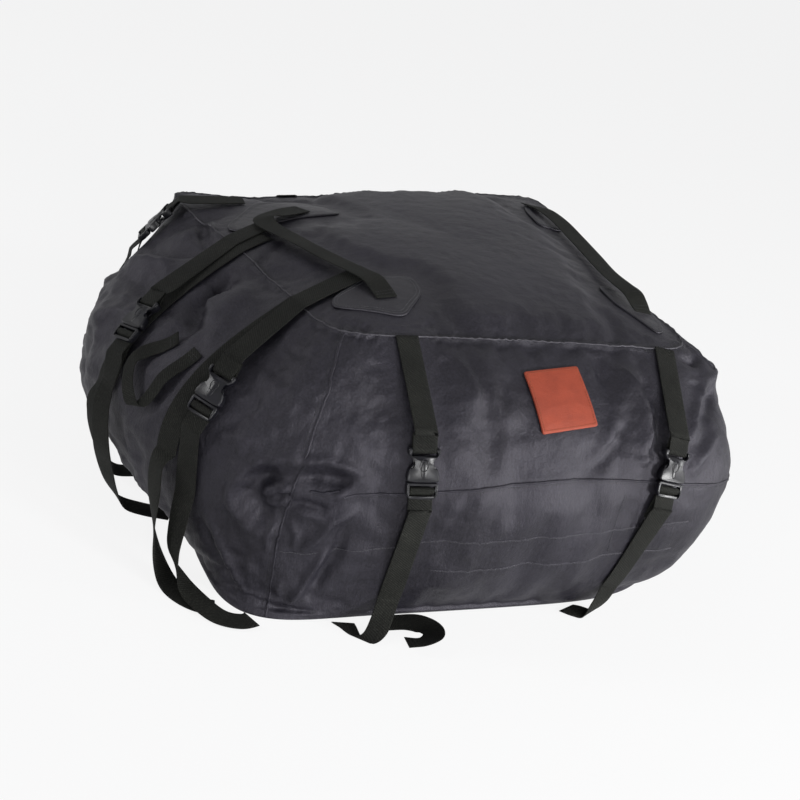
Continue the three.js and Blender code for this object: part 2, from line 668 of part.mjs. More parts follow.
Object.entries(STRAPS).forEach(([name, strap]) => {
  const plane = strapPlane(strap.top, strap.belly, strap.foot);
  const lift = strap.banded ? BAND_LIFT + LAYER_STEP : SEAT_GAP;
  const frame = buckleFrame(plane, angleAt(plane, strap.belly), lift + BUCKLE_LIFT);
  const depth = lift + WEBBING_THICKNESS / 2;
  const upperEnd = planar(plane, inFrame(frame, BAR_WRAP[0][0], 0, BAR_WRAP[0][1] - depth));
  const lowerStart = planar(plane, inFrame(frame, LADDER_WRAP[0][0], 0, LADDER_WRAP[0][1] - depth));
  const upper = [
    ...drapedStations(plane, {
      from: angleAt(plane, strap.top), to: angleOf(upperEnd) - 0.02, lift, over: [upperEnd],
    }),
    ...alignedTo(plane, localStations(frame, BAR_WRAP)),
  ];
  addPiece(`${name}_strap_upper`, ribbon(upper), webbing);
  placeInFrame(`${name}_buckle_socket`, socket, frame, plastic);
  placeInFrame(`${name}_buckle_clip`, clip, frame, plastic);
  const lower = drapedStations(plane, {
    from: angleAt(plane, strap.foot), to: angleOf(lowerStart) + 0.02, lift, over: [lowerStart],
  });
  addPiece(`${name}_strap_lower`, ribbon([
    ...lower, ...alignedTo(plane, localStations(frame, LADDER_WRAP)),
  ]), webbing);
  if (strap.loose) {
    const hanging = looseStations([lower[1], lower[0]], strap.loose, LOOSE_STEPS, STRAP_SPLIT);
    addPiece(`${name}_strap_end`, ribbon(hanging), webbing);
  }
});

// A flat piece sewn onto the body: its outline lies in a plane in front of the body, and each
// of its points drops onto the fabric along that plane's normal.
const caster = new THREE.Raycaster();

function sewnPiece({ at, along, out, outline, rings, thickness, gap }) {
  const normal = new THREE.Vector3(...out).normalize();
  const u = new THREE.Vector3(...along).projectOnPlane(normal).normalize();
  const v = new THREE.Vector3().crossVectors(normal, u);
  const centre = new THREE.Vector3(...at);
  const grid = [];
  for (let ring = 0; ring <= rings; ring += 1) {
    const share = ring / rings;
    grid.push((ring ? outline : [[0, 0]]).map(([x, y]) => {
      return onBody(centre.clone().addScaledVector(u, x * share).addScaledVector(v, y * share), normal);
    }));
  }
  const layer = (height) => grid.map((ring) => ring.map((p) => p.clone().addScaledVector(normal, height)));
  const under = layer(gap);
  const over = layer(gap + thickness);
  return closedRings([...under.slice(1), ...over.slice(1).reverse()], under[0][0], over[0][0]);
}

// Corners of a quadrangle with rounded corners, as points round it.
function roundedOutline(corners, radius, steps = 3) {
  return corners.flatMap(([x, y], k) => {
    const before = new THREE.Vector2(...corners[(k + corners.length - 1) % corners.length]);
    const after = new THREE.Vector2(...corners[(k + 1) % corners.length]);
    const here = new THREE.Vector2(x, y);
    const shortest = Math.min(before.distanceTo(here), after.distanceTo(here));
    const setBack = Math.min(radius, shortest * 0.45);
    const a = here.clone().add(before.sub(here).setLength(setBack));
    const b = here.clone().add(after.sub(here).setLength(setBack));
    const curve = new THREE.QuadraticBezierCurve(a, here, b);
    return curve.getPoints(steps).map((p) => [p.x, p.y]);
  });
}

// More points on the long stretches of an outline, so that the piece follows the body.
function evenly(outline, step) {
  return outline.flatMap(([x, y], k) => {
    const [nx, ny] = outline[(k + 1) % outline.length];
    const count = Math.max(1, Math.round(Math.hypot(nx - x, ny - y) / step));
    return Array.from({ length: count }, (_, j) => [x + ((nx - x) * j) / count, y + ((ny - y) * j) / count]);
  });
}

// The leather label on the front.
const LABEL = { width: 104, height: 106, thickness: 1.6, corner: 4, step: 26, gap: 1.1 };
const labelHalf = [LABEL.width / 2, LABEL.height / 2];
addPiece('front_label', sewnPiece({
  at: [40, -396, 376], along: [1, 0.13, 0.04], out: [0.04, -0.6, 0.8], rings: 4,
  thickness: LABEL.thickness, gap: LABEL.gap,
  outline: evenly(roundedOutline([
    [-labelHalf[0], -labelHalf[1]], [labelHalf[0], -labelHalf[1]], [labelHalf[0], labelHalf[1]],
    [-labelHalf[0], labelHalf[1]],
  ], LABEL.corner, 2), LABEL.step),
}), leather);

const UP = new THREE.Vector3(0, 0, 1);
const HANDLE_GAP = 0.9;

// The patches on the top panel that anchor the long carry handles: broad at the slit where the
// handle's webbing goes in, and drawn out to one side, as outlines from above.
const PATCH = { corner: 20, thickness: 1.2, step: 26, gap: 1 };
const PATCHES = {
  front_left: [[-142, -150], [-139, -196], [-196, -264], [-306, -232], [-300, -205], [-224, -146]],
  front_right: [[236, -118], [238, -186], [284, -270], [308, -252], [318, -186], [296, -120]],
  back_right: [[236, 122], [238, 190], [276, 266], [306, 248], [318, 190], [296, 124]],
  back_left: [[-168, 128], [-166, 176], [-214, 222], [-312, 196], [-392, 92], [-372, 66], [-250, 112]],
};

Object.entries(PATCHES).forEach(([name, corners]) => {
  const middle = [0, 1].map((axis) => corners.reduce((sum, p) => sum + p[axis], 0) / corners.length);
  const outline = roundedOutline(corners.map(([x, y]) => [x - middle[0], y - middle[1]]), PATCH.corner);
  addPiece(`${name}_handle_patch`, sewnPiece({
    at: [...middle, SEAM_HEIGHT], along: [1, 0, 0], out: [0, 0, 1], rings: 4,
    outline: evenly(anticlockwise(outline), PATCH.step),
    thickness: PATCH.thickness, gap: PATCH.gap,
  }), backing);
});

function anticlockwise(outline) {
  return THREE.ShapeUtils.area(outline.map(([x, y]) => ({ x, y }))) < 0 ? [...outline].reverse() : outline;
}

// The place where the body's surface is met on the way in against a direction.
function onBody(at, out) {
  caster.set(at.clone().addScaledVector(out, 200), out.clone().negate());
  return caster.intersectObject(body)[0].point;
}

// Height of the body's top at a place on it.
function topHeight(x, y) {
  return onBody(new THREE.Vector3(x, y, SEAM_HEIGHT), UP).z;
}

// A guide for the end of a handle that lies sewn on the body, its width along the surface.
function sewnEnd({ at, wide, out, width, height }) {
  const across = new THREE.Vector3(...wide).normalize();
  const normal = new THREE.Vector3(...out).normalize();
  const [near, far] = [-0.5, 0.5].map((side) => (
    onBody(new THREE.Vector3(...at).addScaledVector(across, side * width), normal)
  ));
  return {
    at: near.clone().add(far).multiplyScalar(0.5).addScaledVector(normal, height).toArray(),
    wide: far.sub(near).normalize().toArray(),
  };
}

// A long carry handle: webbing from one patch to the other, given by places on the top panel,
// how high the middle of the webbing is over the fabric there, and the way its width points.
function longHandle(name, guides, steps) {
  const placed = guides.map(({ at, rise, wide }) => (rise
    ? { at: [...at, topHeight(...at) + rise], wide }
    : sewnEnd({ at: [...at, SEAM_HEIGHT], wide, out: [0, 0, 1], width: WEBBING_WIDTH, height: PATCH_TOP })));
  addPiece(name, ribbon(freeStations(placed, steps)), webbing);
}

const PATCH_TOP = PATCH.gap + PATCH.thickness + HANDLE_GAP + WEBBING_THICKNESS / 2;
longHandle('left_carry_handle', [
  { at: [-211, -217], wide: [0.98, 0.15, 0] },
  { at: [-216, -198], rise: 8, wide: [0.97, 0.2, 0.1] },
  { at: [-223, -172], rise: 13, wide: [0.94, 0.3, 0.1] },
  { at: [-237, -146], rise: 13, wide: [0.92, 0.4, 0] },
  { at: [-267, -89], rise: 12, wide: [0.915, 0.4, 0] },
  { at: [-303, -8], rise: 12, wide: [0.915, 0.4, 0] },
  { at: [-328, 56], rise: 13, wide: [0.92, 0.32, 0.1] },
  { at: [-328, 88], rise: 15, wide: [0.95, -0.1, 0.3] },
  { at: [-304, 106], rise: 12, wide: [0.7, -0.65, 0.2] },
  { at: [-268, 128], rise: 8, wide: [0.5, -0.85, 0.1] },
  { at: [-236, 150], wide: [0.5, -0.85, 0] },
], 28);
longHandle('right_carry_handle', [
  { at: [288, -204], wide: [1, 0.05, 0] },
  { at: [284, -192], rise: 12, wide: [1, 0.05, 0] },
  { at: [279, -172], rise: 22, wide: [1, 0, 0.1] },
  { at: [278, -136], rise: 20, wide: [1, 0, 0.05] },
  { at: [282, -80], rise: 14, wide: [1, 0, 0] },
  { at: [290, 0], rise: 12, wide: [1, 0, 0] },
  { at: [294, 80], rise: 12, wide: [1, 0, 0] },
  { at: [290, 150], rise: 13, wide: [1, -0.1, 0] },
  { at: [278, 196], rise: 11, wide: [1, -0.15, 0] },
  { at: [266, 226], wide: [1, -0.15, 0] },
], 28);

// The short grab handle on the left end: a loop of narrower webbing hanging below its two ends.
const GRAB_WIDTH = 25;
const GRAB_OUT = [-0.75, -0.2, 0.63];
const GRAB_HEIGHT = HANDLE_GAP + WEBBING_THICKNESS / 2;
const grabEnd = (at, wide) => sewnEnd({ at, wide, out: GRAB_OUT, width: GRAB_WIDTH, height: GRAB_HEIGHT });
addPiece('left_grab_handle', ribbon(freeStations([
  grabEnd([-520, -161, 348], [0, -0.84, -0.47]),
  grabEnd([-538, -159, 334], [0, -0.84, -0.47]),
  { at: [-570, -150, 316], wide: [0.1, -0.82, -0.3] },
  { at: [-586, -152, 303], wide: [0.3, -0.75, 0.2] },
  { at: [-594, -166, 284], wide: [0.45, -0.6, 0.5] },
  { at: [-595, -186, 264], wide: [0.5, -0.55, 0.6] },
  { at: [-590, -204, 252], wide: [0.45, -0.7, 0.4] },
  { at: [-580, -212, 258], wide: [0.35, -0.85, 0.15] },
  { at: [-566, -213, 278], wide: [0.26, -0.95, -0.05] },
  { at: [-551, -214, 308], wide: [0.24, -0.95, -0.08] },
  grabEnd([-520, -211, 336], [0.24, -0.95, -0.08]),
  grabEnd([-502, -208, 350], [0.24, -0.95, -0.08]),
], 26, GRAB_WIDTH)), webbing);

// Long bands of webbing sewn under the straps of the left end, which hang below the belly and
// come back under the bag, and the loose tail that lies curled in front.
const BANDS = {
  left_front: {
    top: [-338, -192, 445], belly: [-519, -254, 295], foot: [-551, -262, 205],
    loose: [
      { at: [-556, -266, 190], wide: [0.3, -0.95, 0] }, { at: [-556, -268, 140], wide: [0.3, -0.95, 0] },
      { at: [-551, -276, 80], wide: [-0.1, -0.97, 0] }, { at: [-544, -296, 34], wide: [-0.5, -0.85, 0] },
      { at: [-532, -332, 6], wide: [-0.85, -0.6, 0] }, { at: [-516, -366, 1.4], wide: [-0.9, -0.45, 0] },
      { at: [-494, -390, 1.4], wide: [-0.6, -0.8, 0] }, { at: [-470, -400, 1.4], wide: [-0.2, -0.95, 0] },
    ],
  },
  left_middle: {
    top: [-345, 54, 440], belly: [-566, -66, 330], foot: [-617, -80, 224],
    loose: [
      { at: [-622, -82, 190], wide: [0.3, -0.95, 0] }, { at: [-619, -80, 150], wide: [0.3, -0.95, 0] },
      { at: [-602, -70, 100], wide: [0.4, -0.9, 0] }, { at: [-580, -38, 50], wide: [0.2, -0.97, 0] },
      { at: [-552, -14, 10], wide: [-0.2, -0.97, 0] }, { at: [-520, -6, 1.6], wide: [-0.2, -1, 0] },
      { at: [-480, -4, 1.6], wide: [0, -1, 0] },
    ],
  },
};

Object.entries(BANDS).forEach(([name, band]) => {
  const plane = strapPlane(band.top, band.belly, band.foot);
  const draped = drapedStations(plane, {
    from: angleAt(plane, band.top), to: angleAt(plane, band.foot), lift: BAND_LIFT,
  });
  const loose = looseStations(draped.slice(-2), band.loose, LOOSE_STEPS);
  addPiece(`${name}_band`, ribbon([...draped, ...loose.slice(1)]), webbing);
});

addPiece('front_left_strap_tail', ribbon(freeStations([
  { at: [-206, -464, 1.4], wide: [0.05, 1, 0] },
  { at: [-180, -465, 1.4], wide: [0.1, 1, 0] },
  { at: [-156, -474, 5], wide: [0.5, 0.86, 0.2] },
  { at: [-140, -494, 9], wide: [1, 0.1, 0.3] },
  { at: [-144, -516, 12], wide: [0.65, -0.75, 0.4] },
  { at: [-166, -527, 11], wide: [0, -1, 0.4] },
  { at: [-192, -522, 8], wide: [-0.2, -1, 0.25] },
], 16)), webbing);

export default bag;
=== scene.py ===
import json
import math

import bpy
import numpy as np
from mathutils import Matrix, Vector, noise
from mathutils.bvhtree import BVHTree


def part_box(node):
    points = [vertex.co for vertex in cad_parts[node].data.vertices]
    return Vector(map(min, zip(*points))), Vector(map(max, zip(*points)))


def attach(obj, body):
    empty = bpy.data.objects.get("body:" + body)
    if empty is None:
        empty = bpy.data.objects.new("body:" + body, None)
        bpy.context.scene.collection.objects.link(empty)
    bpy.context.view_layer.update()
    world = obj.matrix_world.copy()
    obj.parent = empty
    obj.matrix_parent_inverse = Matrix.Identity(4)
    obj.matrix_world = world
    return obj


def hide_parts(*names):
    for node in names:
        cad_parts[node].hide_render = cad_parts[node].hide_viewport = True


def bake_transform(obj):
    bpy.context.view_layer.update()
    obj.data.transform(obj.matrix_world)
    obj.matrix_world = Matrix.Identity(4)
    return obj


# A large soft roof cargo bag, stuffed full: satin polyester body, webbing straps, side-release
# buckles, stitched patches with carry handles and a leather label. Metres, +Z up, front to -Y.

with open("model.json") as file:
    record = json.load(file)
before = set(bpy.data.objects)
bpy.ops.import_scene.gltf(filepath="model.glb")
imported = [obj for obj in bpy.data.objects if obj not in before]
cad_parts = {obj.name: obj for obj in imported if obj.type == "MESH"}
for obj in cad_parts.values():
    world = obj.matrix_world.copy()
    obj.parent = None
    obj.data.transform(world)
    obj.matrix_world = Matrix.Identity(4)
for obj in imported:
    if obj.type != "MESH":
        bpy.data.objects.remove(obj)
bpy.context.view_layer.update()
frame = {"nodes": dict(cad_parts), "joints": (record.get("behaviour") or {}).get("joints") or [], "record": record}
NODES = frame["nodes"]
ROOT = "bag"
MM = 0.001


# Shader expressions

class Wire:
    """An output socket of a shader node that can be reckoned with like a number."""

    def __init__(self, socket):
        self.socket = socket
        self.tree = socket.id_data

    def math(self, operation, *values):
        return add_node(self.tree, "ShaderNodeMath", {"operation": operation},
                        dict(enumerate(values)))

    def __add__(self, other):
        return self.math("ADD", self, other)

    def __mul__(self, other):
        return self.math("MULTIPLY", self, other)

    __radd__ = __add__
    __rmul__ = __mul__

    def beside(self, output):
        """Another output of the same node."""
        return Wire(self.socket.node.outputs[output])

    def sine(self):
        return self.math("SINE", self)

    def rise(self, low, high):
        """0 below low, 1 above high and smooth between them."""
        return add_node(self.tree, "ShaderNodeMapRange", {"interpolation_type": "SMOOTHSTEP"},
                        {"Value": self, "From Min": low, "From Max": high})


def add_node(tree, kind, settings=None, values=None, output=0):
    """Adds a node: its settings first, then the values or links of its sockets."""
    node = tree.nodes.new(kind)
    for key, value in (settings or {}).items():
        setattr(node, key, value)
    for key, value in (values or {}).items():
        if isinstance(value, Wire):
            tree.links.new(value.socket, node.inputs[key])
        else:
            node.inputs[key].default_value = value
    return Wire(node.outputs[output]) if len(node.outputs) else None


class Finish:
    """A material under construction."""

    def __init__(self, name):
        self.material = bpy.data.materials.new(name)
        self.material.use_nodes = True
        self.tree = self.material.node_tree
        self.tree.nodes.clear()

    def node(self, kind, settings=None, values=None, output=0):
        return add_node(self.tree, kind, settings, values, output)

    def place(self):
        """Place on the piece, in metres."""
        return self.node("ShaderNodeTexCoord", output=3)

    def cut(self):
        """Along and across the cloth, in metres, from its UV map."""
        uv = self.node("ShaderNodeUVMap", {"uv_map": "cloth"})
        along = self.node("ShaderNodeSeparateXYZ", values={0: uv})
        return uv, along, along.beside(1)

    def noise(self, vector, scale, detail=2.0, roughness=0.5):
        return self.node("ShaderNodeTexNoise", values={
            "Vector": vector, "Scale": scale, "Detail": detail, "Roughness": roughness})

    def stretched(self, vector, factors):
        return self.node("ShaderNodeVectorMath", {"operation": "MULTIPLY"}, {0: vector, 1: factors})

    def colours(self, share, first, second):
        return self.node("ShaderNodeMix", {"data_type": "RGBA"}, {
            0: share, 6: (*first, 1), 7: (*second, 1)}, output=2)

    def bump(self, height, distance, strength=1.0, normal=None):
        values = {"Height": height, "Distance": distance, "Strength": strength}
        if normal:
            values["Normal"] = normal
        return self.node("ShaderNodeBump", values=values)

    def surface(self, **sockets):
        """Ends the material; each socket is named in small letters, with _ for its spaces."""
        values = {key.replace("_", " ").title().replace("Ior", "IOR"): value
                  for key, value in sockets.items()}
        shader = self.node("ShaderNodeBsdfPrincipled", values=values)
        self.node("ShaderNodeOutputMaterial", values={"Surface": shader})
        return self.material


# Materials

WEAVE_PITCH = 0.0011
WEBBING_PITCH = (0.0042, 0.0034)


def polyester(name, dark, light, roughness, grain=1.0):
    """Coated polyester: a fine plain weave, a satin sheen and slight unevenness."""
    finish = Finish(name)
    uv, along, across = finish.cut()
    place = finish.place()
    patches = finish.noise(place, 7, 3)
    mottle = finish.noise(place, 260, 3, 0.7)
    share = (patches * 0.35 + mottle * 0.65).rise(0.34, 0.66)
    thread = 2 * math.pi / WEAVE_PITCH
    weave = (along * thread).sine() * (across * thread).sine()
    slubs = finish.noise(finish.stretched(uv, (900, 140, 1)), 1, 2)
    relief = weave * 0.35 + slubs * 0.8 + mottle * 1.1
    crinkle = finish.noise(finish.stretched(place, (1, 1, 0.4)), 60, 4, 0.66)
    soft = finish.bump(crinkle, 0.0045 * grain, 0.5)
    normal = finish.bump(relief, 0.00021 * grain, 0.85, soft)
    return finish.surface(
        base_color=finish.colours(share, dark, light),
        roughness=patches * 0.12 + mottle * 0.18 + (roughness - 0.04),
        normal=normal, sheen_weight=0.01, sheen_roughness=0.4, sheen_tint=(0.7, 0.66, 0.92, 1),
        ior=1.42, specular_tint=(0.92, 0.88, 1, 1))


def webbing(name, dark, light):
    """Polypropylene webbing: a coarse weave with heathered threads and plain selvedges."""
    finish = Finish(name)
    uv, along, across = finish.cut()
    rib, cross = (2 * math.pi / pitch for pitch in WEBBING_PITCH)
    weave = (along * rib + across * (rib * 0.5)).sine() * (across * cross).sine()
    flecks = finish.noise(finish.stretched(uv, (230, 520, 1)), 1, 3, 0.75)
    worn = finish.noise(finish.place(), 22, 3)
    share = (flecks * 0.8 + weave * 0.14 + worn * 0.25).rise(0.44, 0.8)
    height = weave * 0.5 + flecks * 0.6
    return finish.surface(
        base_color=finish.colours(share, dark, light), roughness=flecks * 0.16 + 0.68,
        normal=finish.bump(height, 0.0007, 0.9), sheen_weight=0.02, sheen_roughness=0.5,
        sheen_tint=(0.8, 0.82, 0.78, 1), specular_ior_level=0.16)


def moulded_plastic(name):
    """Glossy moulded nylon with a faint haze and fine scuffs."""
    finish = Finish(name)
    place = finish.place()
    haze = finish.noise(place, 55, 3)
    scuffs = finish.noise(finish.stretched(place, (1, 1, 5)), 420, 2, 0.7)
    return finish.surface(
        base_color=finish.colours(haze.rise(0.35, 0.7), (0.0038, 0.0038, 0.0056),
                                  (0.008, 0.0079, 0.0115)),
        roughness=haze * 0.12 + scuffs.rise(0.55, 0.8) * 0.12 + 0.26,
        normal=finish.bump(scuffs, 0.0001, 0.35), specular_ior_level=0.34)


def grained_leather(name):
    """Tan leather: a pebbled grain, darker pores and burnished patches."""
    finish = Finish(name)
    place = finish.place()
    pebbles = finish.node("ShaderNodeTexVoronoi", {"feature": "SMOOTH_F1"}, {
        "Vector": place, "Scale": 620, "Smoothness": 0.6})
    tone = finish.noise(place, 26, 4, 0.6)
    pores = finish.noise(place, 900, 2)
    share = (tone * 0.75 + pores * 0.3).rise(0.32, 0.72)
    return finish.surface(
        base_color=finish.colours(share, (0.235, 0.034, 0.013), (0.32, 0.05, 0.02)),
        roughness=tone * 0.2 + pebbles * 0.25 + 0.4,
        normal=finish.bump(pebbles * -0.7 + tone * 0.5, 0.0005, 0.55))


def thread(name, colour):
    """Spun sewing thread with a fine twist."""
    finish = Finish(name)
    twist = finish.noise(finish.stretched(finish.place(), (1, 1, 3)), 1500, 1)
    darker = tuple(value * 0.55 for value in colour)
    return finish.surface(base_color=finish.colours(twist, darker, colour),
                          roughness=twist * 0.2 + 0.7, normal=finish.bump(twist, 0.0002, 0.6))


FABRIC = polyester("satin_polyester", (0.0045, 0.0042, 0.0058), (0.018, 0.0171, 0.023), 0.35)
PIPING = polyester("seam_edge_polyester", (0.03, 0.029, 0.034), (0.07, 0.068, 0.075), 0.4, 0.4)
BACKING = polyester("patch_polyester", (0.0075, 0.0073, 0.0088), (0.019, 0.0185, 0.022), 0.32, 0.6)
WEBBING = webbing("olive_black_webbing", (0.0042, 0.0044, 0.0036), (0.032, 0.033, 0.028))
PLASTIC = moulded_plastic("glossy_nylon")
LEATHER = grained_leather("tan_leather")
GREY_THREAD = thread("grey_thread", (0.11, 0.11, 0.12))
BLACK_THREAD = thread("black_thread", (0.018, 0.018, 0.02))
RUST_THREAD = thread("rust_thread", (0.3, 0.075, 0.03))


# Building meshes

def new_object(name, data):
    made = bpy.data.objects.new(name, data)
    bpy.context.scene.collection.objects.link(made)
    return made


def shade_smooth(mesh):
    mesh.polygons.foreach_set("use_smooth", [True] * len(mesh.polygons))


def new_piece(name, vertices, faces, material, uvs=None):
    """A mesh piece in metres, with its cloth UVs for each face corner where it has them."""
    mesh = bpy.data.meshes.new(name)
    mesh.from_pydata([tuple(v) for v in vertices], [], [tuple(int(i) for i in f) for f in faces])
    mesh.update()
    if uvs is not None:
        flat = np.array([corner for face in uvs for corner in face], dtype=np.float32)
        mesh.uv_layers.new(name="cloth").data.foreach_set("uv", flat.ravel())
    shade_smooth(mesh)
    mesh.materials.append(material)
    piece = new_object(name, mesh)
    return piece


def quads(rows, sides, closed=True, first=0):
    """Faces between rows of places, each row with the same number of them."""
    pairs = [(j, (j + 1) % sides) for j in range(sides if closed else sides - 1)]
    return [(row + a, row + b, row + sides + b, row + sides + a)
            for row in range(first, first + (rows - 1) * sides, sides) for a, b in pairs]


def quad_uvs(lengths, widths):
    """Cloth UVs of those faces, from the length at each row and the width at each place in it."""
    return [((start, near), (start, far), (end, far), (end, near))
            for start, end in zip(lengths, lengths[1:]) for near, far in zip(widths, widths[1:])]


def length_along(places):
    """Length so far at each place of a line."""
    return np.concatenate([[0], np.cumsum(np.linalg.norm(np.diff(places, axis=0), axis=1))])


def smoothstep(low, high, value):
    share = np.clip((value - low) / (high - low), 0, 1)
    return share * share * (3 - 2 * share)


def unit(vectors):
    return vectors / np.maximum(np.linalg.norm(vectors, axis=-1, keepdims=True), 1e-12)


# The stuffed body

# Outlines at three heights, in millimetres, as in the solid body: how far the sides stand from
# the middle, how much the left one leans, and how square each corner is.
TOP_SEAM = {"left": 390, "right": 332, "front": 306, "back": 318, "slant": 0.19,
            "frontLeft": 12, "frontRight": 12, "backRight": 12, "backLeft": 12}
BELLY = {"left": 621, "right": 424, "front": 491, "back": 402, "slant": 0,
         "frontLeft": 2.2, "frontRight": 6.9, "backRight": 3, "backLeft": 2.2}
BASE = {"left": 432, "right": 367, "front": 441, "back": 350, "slant": 0,
        "frontLeft": 7.4, "frontRight": 4.1, "backRight": 4, "backLeft": 4}
SEAM_HEIGHT = 436
BELLY_HEIGHT = 218
DOME_RISE = 35
# Where the top seam sags: its angle and width in degrees, and the drop.
SEAM_SAGS = [(135, 29, 31), (315, 29, 11), (45, 29, -12)]
BASE_TIP = {"angle": 218, "width": 13, "reach": 42}
FRONT_EAR = {"angle": -39, "width": 9, "level": 0.8, "spread": 0.16, "reach": 40}

SIDE_CELLS = 60
SIDE_ROWS = 60
CORNERS = (-137, -43, 41, 141, 223)
# Where the rings have more places, and by what share.
CRUMPLE = {"angle": 226, "width": 13, "more": 2.2}
EAR_CREASES = {"angle": -43, "width": 12, "more": 0.35}


def reach(level, angle):
    """Distance from the middle to a level's outline."""
    c, s = np.cos(angle), np.sin(angle)
    lean = c + level["slant"] * s
    across = np.where(lean < 0, -lean / level["left"], np.maximum(c, 0) / level["right"])
    along = np.abs(s) / np.where(s < 0, level["front"], level["back"])
    square = np.where(s < 0, np.where(c < 0, level["frontLeft"], level["frontRight"]),
                      np.where(c < 0, level["backLeft"], level["backRight"]))
    return (across ** square + along ** square) ** (-1 / square)


def hump(angle, at, width):
    turns = (angle - math.radians(at)) / (2 * math.pi)
    away = (turns - np.round(turns)) * 2 * math.pi
    return np.exp(-((away / math.radians(width)) ** 2))


def bezier(a, b, c, d, t):
    u = 1 - t
    return u ** 3 * a + 3 * u * u * t * b + 3 * u * t * t * c + t ** 3 * d


def seam_height(angle):
    return SEAM_HEIGHT - sum(drop * hump(angle, at, width) for at, width, drop in SEAM_SAGS)


def side_point(angle, share):
    """Places of the side: share 0 is the base edge, 0.5 the belly and 1 the top seam."""
    angle, share = np.broadcast_arrays(np.asarray(angle, float), np.asarray(share, float))
    tip = BASE_TIP["reach"] * hump(angle, BASE_TIP["angle"], BASE_TIP["width"])
    base = reach(BASE, angle) + tip
    belly = reach(BELLY, angle)
    seam = reach(TOP_SEAM, angle)
    top = seam_height(angle)
    low, high = np.clip(share * 2, 0, 1), np.clip(share * 2 - 1, 0, 1)
    ear = FRONT_EAR["reach"] * hump(angle, FRONT_EAR["angle"], FRONT_EAR["width"])
    ear = ear * np.exp(-(((high - FRONT_EAR["level"]) / FRONT_EAR["spread"]) ** 2))
    lower = share < 0.5
    radius = np.where(lower, bezier(base, base + 0.4 * (belly - base), belly, belly, low),
                      bezier(belly, belly, seam + 0.49 * (belly - seam), seam, high) + ear)
    height = np.where(lower, bezier(0, 0, BELLY_HEIGHT * 0.45, BELLY_HEIGHT, low),
                      bezier(BELLY_HEIGHT, BELLY_HEIGHT + 0.5 * (top - BELLY_HEIGHT),
                             top - 0.22 * (top - BELLY_HEIGHT), top, high))
    return np.stack([radius * np.cos(angle), radius * np.sin(angle), height], axis=-1)


def dome_height(x, y):
    angle = np.arctan2(y, x)
    share = np.clip(1 - np.hypot(x, y) / reach(TOP_SEAM, angle), 0, 1)
    rise = DOME_RISE * (1 - (1 - share) ** 2.4)
    return seam_height(angle) * (1 - share) + SEAM_HEIGHT * share + rise


def ring_angles():
    """Angles round the bag, even along each side and closer where the fabric crumples."""
    angles = []
    for start, end in zip(CORNERS, CORNERS[1:]):
        fine = np.radians(np.linspace(start, end, 600))
        middle = (side_point(fine, 0.5) + side_point(fine, 0.95)) / 2
        steps = np.linalg.norm(np.diff(middle, axis=0), axis=1)
        busy = 1
        for spot in (CRUMPLE, EAR_CREASES):
            busy = busy + spot["more"] * hump(fine, spot["angle"], spot["width"])
        length = np.concatenate([[0], np.cumsum(steps * (busy[1:] + busy[:-1]) / 2)])
        angles.extend(np.interp(np.linspace(0, length[-1], SIDE_CELLS + 1)[:-1], length, fine))
    return np.array(angles)


def filled(ring, height):
    """Places inside a closed ring, spread between its four sides, with their height from a rule."""
    n = SIDE_CELLS
    south, east = ring[:n + 1], ring[n:2 * n + 1]
    north = ring[2 * n:3 * n + 1][::-1]
    west = np.append(ring[3 * n:], ring[:1], axis=0)[::-1]
    u = np.linspace(0, 1, n + 1)[None, :, None]
    v = np.linspace(0, 1, n + 1)[:, None, None]
    grid = (1 - v) * south[None] + v * north[None] + (1 - u) * west[:, None] + u * east[:, None]
    grid = grid - ((1 - u) * (1 - v) * south[0] + u * (1 - v) * south[-1]
                   + (1 - u) * v * north[0] + u * v * north[-1])
    inner = grid[1:-1, 1:-1]
    inner[..., 2] = height(inner[..., 0], inner[..., 1])
    return inner


def body_mesh():
    """Vertices in millimetres, faces, and the cloth UV of each face corner, of the smooth bag."""
    angles = ring_angles()
    count = len(angles)
    even = np.linspace(0, 1, SIDE_ROWS + 1)
    shares = 0.3 * (0.5 - 0.5 * np.cos(even * math.pi)) + 0.7 * even
    rings = side_point(angles[None], shares[:, None])
    belly = rings[SIDE_ROWS // 2]
    around = length_along(np.vstack([belly, belly[:1]]))
    up = np.cumsum(np.linalg.norm(np.diff(rings, axis=0, prepend=rings[:1]), axis=2), axis=0)
    vertices = [rings.reshape(-1, 3)]
    faces, uvs = quads(SIDE_ROWS + 1, count), []
    for row in range(SIDE_ROWS):
        for k in range(count):
            after = (k + 1) % count
            uvs.append(((around[k], up[row, k]), (around[k + 1], up[row, after]),
                        (around[k + 1], up[row + 1, after]), (around[k], up[row + 1, k])))
    total = rings.shape[0] * count
    n = SIDE_CELLS
    for ring_row, height in ((SIDE_ROWS, dome_height), (0, lambda x, y: 0 * x)):
        start, first = ring_row * count, total
        inner = filled(rings[ring_row], height).reshape(-1, 3)
        vertices.append(inner)
        total += len(inner)
        number = np.zeros((n + 1, n + 1), dtype=int)
        number[1:-1, 1:-1] = first + np.arange((n - 1) * (n - 1)).reshape(n - 1, n - 1)
        number[0] = start + np.arange(n + 1)
        number[:, n] = start + n + np.arange(n + 1)
        number[n] = start + 3 * n - np.arange(n + 1)
        number[:, 0] = start + (4 * n - np.arange(n + 1)) % count
        places = np.concatenate(vertices)
        for row in range(n):
            for column in range(n):
                face = [number[row, column], number[row, column + 1],
                        number[row + 1, column + 1], number[row + 1, column]]
                face = face if ring_row else face[::-1]
                faces.append(tuple(face))
                uvs.append(tuple(tuple(places[i][:2]) for i in face))
    return np.concatenate(vertices), np.array(faces), np.array(uvs) * MM


